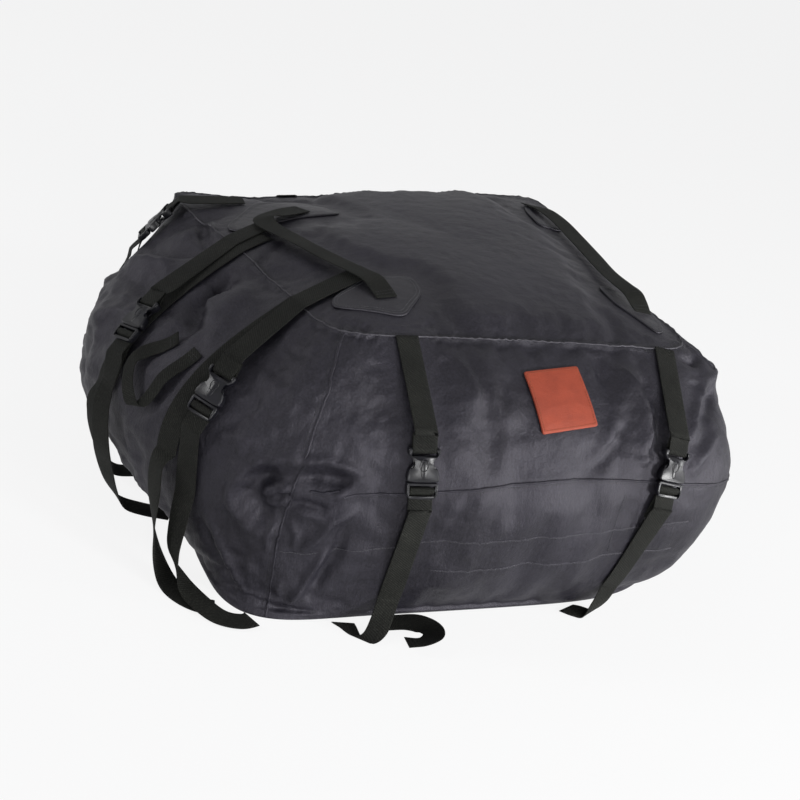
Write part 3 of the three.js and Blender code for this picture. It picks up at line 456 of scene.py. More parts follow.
# Folds of the fabric, in millimetres: height of the ridge or, where negative, depth of the
# valley, its half width, and the three coordinates of each place it runs through.
FOLDS = [
    # the hollow beside the middle strap of the left end, and the flap's edge along it
    (-26, 20, -418, -51, 419, -459, -87, 397, -481, -100, 384, -501, -151, 364, -537, -156, 335),
    (-18, 26, -438, -76, 408, -452, -82, 400),
    (9, 16, -432, -86, 416, -470, -118, 392, -503, -172, 362, -530, -182, 330),
    (-7, 8, -365, -47, 438, -348, -19, 442, -317, 8, 447),
    # the slack back half of the left end
    (-17, 26, -530, 160, 340, -504, 140, 364, -482, 92, 387, -441, 38, 411),
    (9, 20, -560, 130, 320, -535, 111, 347, -501, 54, 378, -452, 27, 406),
    (-8, 9, -418, 164, 421, -430, 85, 415, -424, 29, 419, -417, 10, 422),
    (6, 9, -400, 160, 430, -412, 90, 424, -405, 40, 428),
    (-11, 22, -554, 84, 336, -536, -10, 357, -528, -65, 359),
    (8, 24, -608, 39, 272, -583, -4, 314, -554, -53, 340),
    (-9, 18, -618, -54, 215, -605, -110, 253, -589, -124, 283),
    (-12, 20, -560, 200, 250, -585, 110, 230, -606, 20, 200),
    (9, 18, -552, 180, 290, -584, 90, 270, -604, 20, 240),
    # the swirl crumpled into the left front corner
    (9, 13, -376, -398, 281, -402, -387, 265, -428, -373, 253, -444, -364, 232, -456, -355, 205,
     -460, -352, 181, -452, -359, 157, -432, -376, 142, -409, -392, 140),
    (-18, 19, -400, -392, 236, -430, -376, 222, -436, -372, 196, -419, -383, 176, -402, -394, 178),
    (11, 6, -421, -381, 200, -405, -391, 215, -385, -403, 222),
    (9, 5, -415, -385, 188, -398, -397, 194, -386, -403, 205),
    (-8, 4, -418, -383, 194, -400, -394, 203, -384, -404, 213),
    (8, 8, -393, -395, 262, -345, -415, 280, -318, -428, 275, -290, -440, 268),
    (-11, 14, -375, -404, 240, -345, -417, 252, -322, -428, 250, -306, -434, 252),
    (7, 8, -293, -438, 266, -308, -437, 242, -330, -432, 226),
    (-9, 7, -388, -402, 196, -366, -414, 203, -332, -430, 200),
    (7, 7, -375, -408, 186, -350, -420, 190, -332, -430, 186),
    (8, 8, -294, -445, 210, -324, -434, 185, -334, -430, 157, -359, -421, 126),
    (-10, 11, -303, -441, 176, -303, -441, 144, -311, -440, 108, -320, -438, 84, -330, -437, 40),
    (9, 8, -320, -434, 134, -335, -432, 97, -345, -430, 66, -365, -431, 24),
    (6, 5, -398, -398, 160, -404, -395, 139, -403, -399, 112),
    (6, 5, -379, -408, 166, -366, -415, 151, -369, -415, 129),
    (6, 9, -484, -325, 122, -460, -350, 87, -435, -384, 43, -418, -415, 10),
    (-6, 9, -498, -308, 118, -474, -338, 78, -450, -372, 36),
    (5, 6, -376, -419, 66, -381, -418, 53, -375, -424, 40),
    # pulls at the right strap, and the tuck under the corner's ear
    (11, 13, 170, -350, 404, 182, -372, 392, 193, -405, 368, 195, -435, 343, 187, -471, 295),
    (-9, 11, 206, -350, 400, 215, -380, 385, 222, -420, 350, 218, -455, 318),
    (6, 7, 222, -331, 413, 237, -349, 402, 246, -373, 387),
    (-15, 9, 300, -318, 410, 336, -319, 406, 352, -300, 408),
    (8, 10, 349, -353, 388, 307, -401, 358, 276, -444, 326),
    (-7, 9, 372, -352, 370, 330, -398, 345, 292, -446, 305),
    (7, 8, 345, -420, 325, 290, -464, 296, 278, -472, 283),
    (5, 7, 148, -462, 311, 169, -469, 301, 194, -467, 303),
    (5, 9, 84, -469, 302, 114, -448, 331, 134, -424, 354, 128, -395, 378),
    (-5, 8, 96, -473, 298, 128, -455, 322, 150, -425, 352),
    # slack below the middle seam, beside the left strap
    (6, 7, -143, -478, 253, -161, -479, 195, -176, -476, 160),
    (5, 6, -61, -485, 255, -63, -489, 188),
    (5, 6, -101, -483, 254, -124, -484, 215, -146, -482, 180),
    (5, 6, -165, -477, 163, -153, -474, 114),
    (5, 6, -107, -484, 165, -98, -480, 119),
    (-5, 7, -128, -480, 250, -140, -482, 200),
    (-4, 7, -82, -485, 240, -90, -487, 190),
    (-5, 9, -111, -335, 419, -95, -384, 388, -99, -413, 365),
    (4, 9, -128, -340, 416, -114, -388, 385, -116, -420, 360),
    (-4, 10, 128, -336, 414, 133, -381, 388, 127, -422, 356),
    (-4, 8, 14, -314, 430, 18, -350, 411, 14, -390, 386),
]


# How many half widths a fold reaches, over what share of its length each end fades, and the round
# and the sharp shape that make up a ridge.
FOLD_REACH = 3
FOLD_END = 0.22
RIDGE_ROUND, RIDGE_SHARP = 0.4, 0.6
RIDGE_TIP = 0.7


def line_distance(points, line):
    """Distance of each point to a line through places, and its share of the way along it."""
    lengths = np.linalg.norm(np.diff(line, axis=0), axis=1)
    before = np.concatenate([[0], np.cumsum(lengths)])
    best = np.full(len(points), np.inf)
    share = np.zeros(len(points))
    for k, (a, b) in enumerate(zip(line, line[1:])):
        along = np.clip((points - a) @ (b - a) / (lengths[k] ** 2), 0, 1)
        away = np.linalg.norm(points - a - along[:, None] * (b - a), axis=1)
        closer = away < best
        best[closer] = away[closer]
        share[closer] = (before[k] + along[closer] * lengths[k]) / before[-1]
    return best, share


def fold_heights(points):
    """What the folds add to the surface at each point, in millimetres."""
    total = np.zeros(len(points))
    for height, width, *line in FOLDS:
        line = np.reshape(line, (-1, 3)).astype(float)
        low = np.min(line, axis=0) - FOLD_REACH * width
        high = np.max(line, axis=0) + FOLD_REACH * width
        near = np.where(((points > low) & (points < high)).all(axis=1))[0]
        away, share = line_distance(points[near], line)
        fade = np.clip(np.minimum(share, 1 - share) / FOLD_END, 0, 1) ** 0.6
        shape = np.exp(-((away / width) ** 2))
        if height > 0:
            shape = RIDGE_ROUND * shape + RIDGE_SHARP * np.exp(-away / (RIDGE_TIP * width))
        total[near] += height * shape * (0.25 + 0.75 * fade)
    return total


def rippled(points, sizes, seed, octaves):
    """Smooth noise at each point; sizes are the lengths of its waves in millimetres."""
    offset = Vector((seed * 17.3, seed * 5.1, seed * 9.7))
    return np.array([noise.fractal(Vector(p) + offset, 1.0, 2.0, octaves)
                     for p in points / np.array(sizes, float)])


def tree_of(*names):
    """A search tree of CAD nodes, in millimetres."""
    vertices, faces = [], []
    for name in names:
        mesh = NODES[name].data
        start = len(vertices)
        vertices.extend(v.co / MM for v in mesh.vertices)
        faces.extend([start + i for i in p.vertices] for p in mesh.polygons)
    return BVHTree.FromPolygons(vertices, faces)


def tree_in_metres(mesh):
    """A search tree of a mesh."""
    return BVHTree.FromPolygons([v.co.copy() for v in mesh.vertices],
                                [tuple(p.vertices) for p in mesh.polygons])


def distances(tree, points):
    """Distance of each point to the tree, up to STRAP_SEARCH."""
    found = [tree.find_nearest(Vector(p), STRAP_SEARCH)[3] for p in points]
    return np.array([STRAP_SEARCH if d is None else d for d in found])


def vertex_values(mesh, what):
    """The place ("co") or direction ("normal") of each vertex."""
    values = np.zeros(len(mesh.vertices) * 3, dtype=np.float32)
    mesh.vertices.foreach_get(what, values)
    return values.reshape(-1, 3).astype(float)


def settle(mesh, places):
    mesh.vertices.foreach_set("co", np.asarray(places, dtype=np.float32).ravel())
    mesh.update()


def apply_modifiers(piece):
    """Replaces the piece's mesh by the result of its modifiers."""
    graph = bpy.context.evaluated_depsgraph_get()
    finished = bpy.data.meshes.new_from_object(piece.evaluated_get(graph))
    piece.modifiers.clear()
    piece.data = finished


# What holds the fabric. Each pair is a distance from it, in millimetres, up to which its effect
# is full, and one from which there is none.
HELD_NAMES = [name for name in NODES if name != "bag_body" and not name.endswith("strap_tail")]
STRAP_SEARCH = 60
HELD_NEAR = (10, 45)
FLATTENED_NEAR = (9, 34)
PRESSED_NEAR = (14, 30)
PRESSED_BY = 1.2
HELD_BELOW = 12
RIM_HELD = 0.8
RIDGE_GAIN, VALLEY_GAIN = 1.45, 1.15

CLOTH = {"quality": 4, "mass": 0.3, "tension_stiffness": 12, "compression_stiffness": 12,
         "shear_stiffness": 6, "bending_stiffness": 0.4, "vertex_group_mass": "held",
         "use_pressure": True, "uniform_pressure_force": 4, "shrink_min": -0.035}
CLOTH_FRAMES = 20
MOST_SWELL = 0.016
DRAWN_IN = 0.007


def swell(bag, held):
    """Cloth under pressure: the fabric swells between the straps and seams that hold it."""
    places = vertex_values(bag.data, "co")
    stretched = new_object(bag.name, bag.data.copy())
    group = stretched.vertex_groups.new(name="held")
    for index, weight in enumerate(held):
        group.add([index], float(weight), "REPLACE")
    cloth = stretched.modifiers.new("cloth", "CLOTH")
    for key, value in CLOTH.items():
        setattr(cloth.settings, key, value)
    cloth.settings.effector_weights.gravity = 0
    cloth.collision_settings.use_collision = False
    for number in range(1, CLOTH_FRAMES + 1):
        bpy.context.scene.frame_set(number)
    apply_modifiers(stretched)
    moved = vertex_values(stretched.data, "co") - places
    bpy.data.objects.remove(stretched)
    bpy.context.scene.frame_set(1)
    far = np.linalg.norm(moved, axis=1, keepdims=True)
    moved *= np.minimum(1, MOST_SWELL / np.maximum(far, 1e-9))
    inwards = vertex_values(bag.data, "normal") * (DRAWN_IN * (1 - np.asarray(held)))[:, None]
    settle(bag.data, places + moved - inwards)


def subdivided(piece):
    subdivision = piece.modifiers.new("fine", "SUBSURF")
    subdivision.levels = subdivision.render_levels = 1
    apply_modifiers(piece)
    return vertex_values(piece.data, "co") / MM


def stuffed_body():
    """The fabric of the bag: blown up between what holds it, then folded."""
    vertices, faces, uvs = body_mesh()
    mesh = bpy.data.meshes.new("stuffed_body")
    mesh.from_pydata((vertices * MM).tolist(), [], faces.tolist())
    layer = mesh.uv_layers.new(name="cloth")
    layer.data.foreach_set("uv", uvs.astype(np.float32).ravel())
    mesh.materials.append(FABRIC)
    bag = new_object("stuffed_body", mesh)
    smooth = new_object(bag.name, mesh.copy())
    before = subdivided(smooth)
    bpy.data.objects.remove(smooth)
    straps = tree_of(*HELD_NAMES)
    near = distances(straps, vertices)
    rim = np.abs(vertices[:, 2] - seam_height(np.arctan2(vertices[:, 1], vertices[:, 0])))
    on_floor = (vertices[:, 2] < HELD_BELOW) * 1.0
    held = np.maximum(1 - smoothstep(*HELD_NEAR, near), on_floor)
    swell(bag, np.maximum(held, RIM_HELD * (rim < 2)))
    places = subdivided(bag)
    normals = vertex_values(bag.data, "normal")
    near = distances(straps, before)
    push = fold_heights(before)
    push = np.where(push > 0, RIDGE_GAIN, VALLEY_GAIN) * push + loose_fabric(before)
    free = smoothstep(*FLATTENED_NEAR, near)
    pressed = PRESSED_BY * (1 - smoothstep(*PRESSED_NEAR, near))
    push = np.where(push > 0, push * free, push * (0.45 + 0.55 * free)) - pressed
    off_floor = smoothstep(4, 40, places[:, 2])
    places = places + normals * (push * off_floor)[:, None]
    places[:, 2] = np.maximum(places[:, 2], 0)
    settle(bag.data, places * MM)
    shade_smooth(bag.data)
    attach(bag, ROOT)
    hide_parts("bag_body")
    return bag


def loose_fabric(points):
    """The unevenness of stuffed cloth: lumps of what is inside, soft folds and fine puckers.

    Each is a height in millimetres times noise with three wave lengths.
    """
    x, y, z = points.T
    angle = np.arctan2(y, x)
    side = smoothstep(20, 90, z) * (1 - smoothstep(-20, 40, z - seam_height(angle)))
    lumps = 5.5 * rippled(points, (170, 170, 130), 1, 2)
    folds = 3.2 * rippled(points, (62, 62, 120), 2, 3)
    pulls = 1.8 * (0.25 - np.abs(rippled(points, (24, 24, 110), 7, 2)))
    left = smoothstep(-250, -480, x)
    crumpled = 4.5 * rippled(points, (48, 48, 34), 3, 3) * left
    fine = 1.5 * rippled(points, (17, 17, 24), 4, 2) * (0.55 + 0.6 * left)
    front = smoothstep(-330, -420, y)
    hang = 2.6 * rippled(points, (26, 60, 300), 5, 2) * front * smoothstep(180, 420, z)
    puckers = np.sin(angle * 150 + 5 * rippled(points, (60, 60, 60), 6, 1))
    rim = np.abs(z - seam_height(angle))
    puckers = 0.9 * puckers * np.exp(-((rim / 15) ** 2)) * (np.hypot(x, y) > 280)
    return lumps * (0.35 + 0.65 * side) + (folds + crumpled + pulls) * side + fine + hang + puckers


BAG = stuffed_body()
SURFACE = tree_in_metres(BAG.data)


def on_surface(places, lift=0.0):
    """The nearest places on the stuffed body and its directions outwards, in metres."""
    found = [SURFACE.find_nearest(Vector(p))[:2] for p in places]
    spots = np.array([tuple(f[0]) for f in found])
    outwards = np.array([tuple(f[1]) for f in found])
    for _ in range(2):
        outwards[1:-1] = unit(outwards[1:-1] * 2 + outwards[:-2] + outwards[2:])
    return spots + outwards * lift, outwards


# Webbing

# The outline across webbing, as shares of its width and thickness.
PROFILE = np.array([
    (-0.5, 0.0), (-0.492, 0.34), (-0.455, 0.5), (-0.3, 0.5), (-0.1, 0.5), (0.1, 0.5), (0.3, 0.5),
    (0.455, 0.5), (0.492, 0.34), (0.5, 0.0), (0.492, -0.34), (0.455, -0.5), (0.15, -0.5),
    (-0.15, -0.5), (-0.455, -0.5), (-0.492, -0.34)])
WEBBING_THICKNESS = 0.0016
WEBBING_SPACING = 0.005
# Lengths at which straps are sewn across, from the far end where negative.
SEWN_AT = (0.007, 0.013)
HANDLE_SEWN_AT = (0.008, 0.014, -0.008, -0.014)


def webbing_rings(node):
    """The cross-sections of a CAD strap in order, four corners each, in metres."""
    mesh = NODES[node].data
    keys, places, number = {}, [], []
    for v in mesh.vertices:
        key = tuple(round(c, 6) for c in v.co)
        if key not in keys:
            keys[key] = len(places)
            places.append(tuple(v.co))
        number.append(keys[key])
    near = [set() for _ in places]
    opposite = {}
    for polygon in mesh.polygons:
        corners = [number[i] for i in polygon.vertices]
        for k, a in enumerate(corners):
            b = corners[(k + 1) % len(corners)]
            near[a].add(b)
            near[b].add(a)
            opposite.setdefault(frozenset((a, b)), set()).update(corners)
    for seed in opposite.values():
        if len(seed) == 4:
            found = ring_layers(seed, near)
            if found and len(found) > 2 and sum(map(len, found)) == len(places):
                return np.array([[places[i] for i in ring] for ring in found])
    raise ValueError(f"{node} isn't a strap of four-cornered rings")


def ring_layers(seed, near):
    seen, current = set(seed), set(seed)
    layers = [list(seed)]
    while True:
        after = set().union(*(near[v] for v in current)) - seen
        if not after:
            return layers
        if len(after) != 4:
            return None
        seen |= after
        current = after
        layers.append(list(after))


def edges_of(rings):
    """Left and right edges of a strap, each halfway through its thickness."""
    left, right = [], []
    for ring in rings:
        pairs = min((((0, a), tuple(b for b in (1, 2, 3) if b != a)) for a in (1, 2, 3)),
                    key=lambda p: sum(np.linalg.norm(ring[i] - ring[j]) for i, j in p))
        one, two = ((ring[i] + ring[j]) / 2 for i, j in pairs)
        if left:
            straight = np.linalg.norm(one - left[-1]) + np.linalg.norm(two - right[-1])
            crossed = np.linalg.norm(two - left[-1]) + np.linalg.norm(one - right[-1])
            if crossed < straight:
                one, two = two, one
        left.append(one)
        right.append(two)
    return np.array(left), np.array(right)


def smoothed(line, spacing):
    """A Catmull-Rom curve through places, cut at about the spacing."""
    padded = np.vstack([2 * line[0] - line[1], line, 2 * line[-1] - line[-2]])
    out = [line[0]]
    for k in range(len(line) - 1):
        a, b, c, d = padded[k:k + 4]
        steps = max(1, round(np.linalg.norm(c[:3] - b[:3]) / spacing))
        for t in np.linspace(0, 1, steps + 1)[1:]:
            out.append(0.5 * (2 * b + (c - a) * t + (2 * a - 5 * b + 4 * c - d) * t ** 2
                              + (3 * b - a - 3 * c + d) * t ** 3))
    return np.array(out)


def strap_frame(*nodes):
    """Centre line, directions across and outwards, and length so far, of CAD straps in a row."""
    lefts, rights = [], []
    for node in nodes:
        left, right = edges_of(webbing_rings(node))
        if lefts:
            last = (lefts[-1][-1] + rights[-1][-1]) / 2
            ends = [np.linalg.norm((left[k] + right[k]) / 2 - last) for k in (0, -1)]
            if ends[1] < ends[0]:
                left, right = left[::-1], right[::-1]
            if (right[0] - left[0]) @ (rights[-1][-1] - lefts[-1][-1]) < 0:
                left, right = right, left
            if min(ends) < MM:
                left, right = left[1:], right[1:]
        lefts.append(left)
        rights.append(right)
    both = smoothed(np.hstack([np.vstack(lefts), np.vstack(rights)]), WEBBING_SPACING)
    centre = (both[:, :3] + both[:, 3:]) / 2
    across = both[:, 3:] - both[:, :3]
    outwards = unit(np.cross(unit(np.gradient(centre, axis=0)), across))
    return centre, across, outwards, length_along(centre)


def strap_mesh(centre, across, outwards, length):
    """A webbing strap with rounded selvedges, closed at its two cut ends."""
    count, sides = len(centre), len(PROFILE)
    width = np.linalg.norm(across[0])
    rows = (centre[:, None] + across[:, None] * PROFILE[None, :, :1]
            + outwards[:, None] * (PROFILE[None, :, 1:] * WEBBING_THICKNESS))
    around = length_along(np.vstack([PROFILE, PROFILE[:1]]) * [width, WEBBING_THICKNESS])
    faces, uvs = quads(count, sides), quad_uvs(length, around)
    for k, step in ((0, -1), (count - 1, 1)):
        ring = [k * sides + j for j in range(sides)][::step]
        for j in range(1, sides // 2):
            faces.append((ring[j - 1], ring[j], ring[sides - 1 - j], ring[(sides - j) % sides]))
            uvs.append(tuple((length[k], MM * c) for c in (1, 2, 3, 4)))
    return rows.reshape(-1, 3), faces, uvs


def strap(name, *nodes, sewn=()):
    """A webbing strap that stands for its CAD nodes, with stitches across it at some lengths."""
    centre, across, outwards, length = strap_frame(*nodes)
    vertices, faces, uvs = strap_mesh(centre, across, outwards, length)
    piece = new_piece(name, vertices, faces, WEBBING, uvs)
    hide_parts(*nodes)
    shares = np.linspace(-0.44, 0.44, 12)[:, None]
    for number, at in enumerate(at if at >= 0 else length[-1] + at for at in sewn):
        spot, side, out = (np.array([np.interp(at, length, rows[:, i]) for i in range(3)])
                           for rows in (centre, across, outwards))
        for face in (-1, 1):
            row = spot + side * shares + unit(out) * (face * 0.0009)
            stitch_row(f"{name}_stitches_{number}_{'over' if face > 0 else 'under'}", row,
                       np.tile(unit(out) * face, (len(shares), 1)), BLACK_THREAD, thick=0.0006)
    return piece


def straps():
    for node in sorted(NODES):
        if node.endswith(("strap_upper", "handle", "band", "strap_tail")):
            sewn = HANDLE_SEWN_AT if node.endswith("handle") else SEWN_AT
            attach(strap(f"{node}_woven", node, sewn=sewn), ROOT)
    for joint in frame["joints"]:
        name = joint["name"].replace("_clip_slide", "")
        lower, loose = f"{name}_strap_lower", f"{name}_strap_end"
        nodes = [lower] + ([loose] if loose in NODES else [])
        piece = strap(f"{name}_lower_webbing", *nodes)
        clip = sum(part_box(f"{name}_buckle_clip"), Vector()) / 2
        choose, end = (min, loose) if loose in NODES else (max, lower)
        centre = strap_frame(end)[0]
        far = choose((Vector(centre[0]), Vector(centre[-1])), key=lambda p: (p - clip).length)
        tuple(clip + (far - clip) * 0.16)
        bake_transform(piece)


# Stitches and welts

# A stitch: how far along it each ring is, how plump it is there and how high it stands.
STITCH = ((0, 0.25, -0.5), (0.18, 0.85, 0.1), (0.5, 1, 0.35), (0.82, 0.85, 0.1), (1, 0.25, -0.5))
STITCH_SIDES = 5
WELT_PROFILE = np.array([(-0.5, -0.6), (-0.46, 0.35), (-0.34, 0.85), (-0.12, 1.0), (0.12, 0.8),
                         (0.34, 0.35), (0.5, -0.6)])


def stitch_row(name, places, outwards, material, long=0.0034, gap=0.0014,
               thick=0.0007):
    """A row of stitches along a line of places: small plump bars that dip at both ends."""
    length = length_along(places)
    vertices, faces = [], []
    turn = np.linspace(0, 2 * math.pi, STITCH_SIDES, endpoint=False)
    for begin in np.arange(0, length[-1] - long, long + gap):
        shares = begin + long * np.array([ring[0] for ring in STITCH])
        spot, out = (np.stack([np.interp(shares, length, rows[:, i]) for i in range(3)], axis=1)
                     for rows in (places, outwards))
        out = unit(out)
        across = unit(np.cross(out, unit(spot[-1:] - spot[:1])))
        faces.extend(quads(len(STITCH), STITCH_SIDES, first=len(vertices)))
        for k, (_, plump, rise) in enumerate(STITCH):
            for a in turn:
                vertices.append(spot[k] + out[k] * thick * (rise + 0.6 * plump * math.sin(a))
                                + across[k] * thick * plump * math.cos(a))
    piece = new_piece(name, vertices, faces, material)
    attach(piece, ROOT)


def welt(name, places, outwards, width, height, material):
    """A raised seam: a strip of folded fabric with one steep and one sloping side."""
    across = unit(np.cross(outwards, unit(np.gradient(places, axis=0))))
    rows = (places[:, None] + across[:, None] * (WELT_PROFILE[None, :, :1] * width)
            + outwards[:, None] * (WELT_PROFILE[None, :, 1:] * height))
    faces = quads(len(places), len(WELT_PROFILE), closed=False)
    uvs = quad_uvs(length_along(places), WELT_PROFILE[:, 0] * width)
    piece = new_piece(name, rows.reshape(-1, 3), faces, material, uvs)
    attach(piece, ROOT)


def body_line(angles, shares):
    return side_point(np.radians(angles), shares) * MM


def shifted(places, outwards, by):
    """The same line on the surface, beside the first."""
    ahead = unit(np.gradient(places, axis=0))
    return on_surface(places + unit(np.cross(outwards, ahead)) * by)


def sewn_welt(name, places, outwards, width, height, by):
    """A welt in the bag's fabric, with a row of stitches beside it."""
    welt(f"{name}_welt", places, outwards, width, height, FABRIC)
    row, out = shifted(places, outwards, by)
    stitch_row(f"{name}_stitches", row, out, BLACK_THREAD, thick=0.0005)


def seams():
    """The sewn seams, with their welts and rows of stitches."""
    turn = np.linspace(0, 360, 900)
    places, outwards = on_surface(body_line(turn, 1.0), 0.0004)
    welt("top_seam_welt", places, outwards, 0.0028, 0.0016, PIPING)
    for number, by in enumerate((0.0058, -0.0058)):
        row, out = shifted(places, outwards, by)
        stitch_row(f"top_seam_stitches_{number}", row, out, BLACK_THREAD,
                   thick=0.0005)
    turn = np.linspace(-131, 135, 700)
    middle = 0.5 + 0.085 * hump(np.radians(turn), 285, 50) + 0.02 * np.sin(np.radians(turn * 3))
    places, outwards = on_surface(body_line(turn, middle), 0.0003)
    sewn_welt("middle_seam", places, outwards, 0.005, 0.0017, -0.0055)
    for name, knots in CORNER_SEAMS.items():
        shares = np.linspace(0.02, 0.99, 160)
        places, outwards = on_surface(body_line(np.interp(shares, *zip(*knots)), shares), 0.0003)
        sewn_welt(f"{name}_corner", places, outwards, 0.0045, 0.0016, 0.0068)
    for name, line in PANEL_LINES.items():
        places, outwards = on_surface(smoothed(np.array(line, float) * MM, 0.006), 0.0003)
        stitch_row(name, places, outwards, GREY_THREAD, thick=0.00045,
                   long=0.0036, gap=0.0009)
        row, out = shifted(places, outwards, 0.0012)
        welt(f"{name}_tuck", row, out, 0.0026, 0.0007, FABRIC)


# How each corner's seam climbs: shares of the height, and the angle there in degrees.
CORNER_SEAMS = {
    "front_left": [(0.02, 227.3), (0.2, 226.7), (0.4, 225.8), (0.6, 227.1), (0.8, 226.5),
                   (0.99, 223.8)],
    "front_right": [(0.02, -43), (0.99, -39)],
    "back_right": [(0.02, 42), (0.99, 41)],
    "back_left": [(0.02, 137), (0.99, 141)],
}
PANEL_LINES = {
    "pocket_upper_stitches": [
        (-385, -408, 115), (-220, -465, 150), (-171, -476, 166), (-87, -486, 173),
        (29, -490, 181), (139, -490, 185), (217, -489, 188), (300, -470, 190)],
    "pocket_lower_stitches": [
        (-156, -473, 110), (2, -484, 120), (160, -485, 130), (290, -470, 134)],
    "pocket_side_stitches": [(152, -485, 250), (147, -491, 201), (156, -486, 140)],
}


# Patches, label and their edges

# Corners of the patches on the lid, in millimetres.
PATCHES = {
    "front_left": [(-142, -150), (-139, -196), (-196, -264), (-306, -232), (-300, -205),
                   (-224, -146)],
    "front_right": [(236, -118), (238, -186), (284, -270), (308, -252), (318, -186), (296, -120)],
    "back_right": [(236, 122), (238, 190), (276, 266), (306, 248), (318, 190), (296, 124)],
    "back_left": [(-168, 128), (-166, 176), (-214, 222), (-312, 196), (-392, 92), (-372, 66),
                  (-250, 112)],
}


# The label's middle in metres, half its width and height at its edge and at its stitches in
# millimetres, and the share of a sheet from which its edge rolls down.
LABEL_MIDDLE = Vector((0.040, -0.396, 0.376))
LABEL_EDGE, LABEL_SEWN = (52, 53), (48, 49)
ROLL_START = 0.985


def rectangle(x, y):
    return [(-x, -y), (x, -y), (x, y), (-x, y)]


def sewn_sheet(name, node, vertices, count, rings, flat, material):
    """A sheet that stands for a CAD node: a fan round its middle, then strips between rings."""
    faces = []
    for j in range(count):
        after = (j + 1) % count
        faces.append((0, 1 + j, 1 + after))
        for row in range(1, 1 + (rings - 1) * count, count):
            faces.append((row + j, row + count + j, row + count + after, row + after))
    uvs = [[flat[i] for i in face] for face in faces]
    piece = new_piece(name, vertices, faces, material, uvs)
    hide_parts(node)
    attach(piece, ROOT)


def rolled(inner, edge, drops):
    """The rings of a sheet as shares of its outline, and how far each lies below its top."""
    return np.concatenate([inner, edge]), np.concatenate([np.zeros(len(inner)), drops])


def rounded_loop(corners, radius, samples):
    """A closed outline with rounded corners, evenly spaced."""
    corners = np.array(corners, float)
    points = []
    for k, corner in enumerate(corners):
        before, after = corners[k - 1], corners[(k + 1) % len(corners)]
        back = min(radius, 0.45 * np.linalg.norm(before - corner))
        on = min(radius, 0.45 * np.linalg.norm(after - corner))
        a = corner + (before - corner) / np.linalg.norm(before - corner) * back
        b = corner + (after - corner) / np.linalg.norm(after - corner) * on
        for t in np.linspace(0, 1, 12):
            points.append((1 - t) ** 2 * a + 2 * t * (1 - t) * corner + t * t * b)
    points = np.array(points + points[:1])
    length = length_along(points)
    even = np.linspace(0, length[-1], samples + 1)[:-1]
    return np.stack([np.interp(even, length, points[:, i]) for i in range(2)], axis=1)


def handle_patch(name, corners):
    """A patch sewn over the corner of the lid, with its edge rolled down and stitched."""
    node = f"{name}_handle_patch"
    tree = tree_in_metres(NODES[node].data)
    loop = rounded_loop(corners, 20, 220) * MM
    centre = loop.mean(axis=0)
    levels, drops = rolled(np.linspace(0.06, 0.94, 16), [0.965, 0.982, 0.993, 1.0, 1.002],
                           [0, 0.0001, 0.0004, 0.0011, 0.0026])

    def height(spot):
        hit = tree.ray_cast(Vector((spot[0], spot[1], 1)), Vector((0, 0, -1)))
        if hit[0] is None:
            hit = tree.find_nearest(Vector((spot[0], spot[1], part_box(node)[1][2])))
        return hit[0][2]

    vertices = [(*centre, height(centre))]
    for level, drop in zip(levels, drops):
        for spot in centre + (loop - centre) * level:
            inner = centre + (spot - centre) * min(1, ROLL_START / level)
            crumple = 0.0004 * noise.noise(Vector((spot[0] * 60, spot[1] * 60, level * 2)))
            vertices.append((spot[0], spot[1], height(inner) - drop + crumple))
    sewn_sheet(f"{name}_patch", node, vertices, len(loop), len(levels),
               np.array(vertices)[:, :2], BACKING)
    to_edge = np.linalg.norm(loop - centre, axis=1, keepdims=True)
    for number, inset in enumerate((0.004, 0.0095)):
        line = centre + (loop - centre) * (1 - inset / to_edge)
        places = np.array([(x, y, height((x, y)) + 0.0002) for x, y in (*line, line[0])])
        outwards = np.tile([0, 0, 1.0], (len(places), 1))
        stitch_row(f"{name}_patch_stitches_{number}", places, outwards, GREY_THREAD,
                   thick=0.0005)


def leather_label():
    """The leather label, left plain, with stitches along its edges and its rim rolled down."""
    node = "front_label"
    tree = tree_in_metres(NODES[node].data)
    along, out = Vector((1, 0.13, 0.04)).normalized(), Vector((0.04, -0.6, 0.8))
    up = out.cross(along).normalized()
    out = along.cross(up).normalized()
    loop = rounded_loop(rectangle(*LABEL_EDGE), 4, 200) * MM

    def upper(spot, lift=0.0):
        start = LABEL_MIDDLE + along * spot[0] + up * spot[1]
        hit = tree.ray_cast(start + out * 0.1, -out)
        if hit[0] is None:
            hit = tree.find_nearest(start + out * 0.002)
        return np.array(hit[0] + out * lift)

    levels, drops = rolled(np.linspace(0.04, 0.95, 18), [0.97, 0.985, 0.995, 1.0, 1.001],
                           [0.00005, 0.0002, 0.0006, 0.0012, 0.0028])
    vertices = [upper((0, 0))]
    for level, drop in zip(levels, drops):
        beyond = max(0, 1 - ROLL_START / level)
        for spot in loop * level:
            vertices.append(upper(spot * min(1, ROLL_START / level), -drop)
                            + np.array(along) * spot[0] * beyond
                            + np.array(up) * spot[1] * beyond)
    flat = np.vstack([[0, 0]] + [loop * level for level in levels])
    sewn_sheet("leather_label", node, vertices, len(loop), len(levels), flat, LEATHER)
    rows = rounded_loop(rectangle(*LABEL_SEWN), 3, 160) * MM
    places = np.array([upper(spot, 0.0002) for spot in (*rows, rows[0])])
    outwards = np.tile(np.array(out), (len(places), 1))
    stitch_row("label_stitches", places, outwards, RUST_THREAD, thick=0.0006)


# Buckles

WELD_DISTANCE = 0.00002
EASED_WIDTH = 0.0007
EASED_FROM, SHARP_FROM = math.radians(32), math.radians(50)
MARK = {"along": 0.0095, "across": 0.0065, "rim": 0.0007, "places": 40, "sides": 6}
BAG_MIDDLE = (0, 0, 0.2)


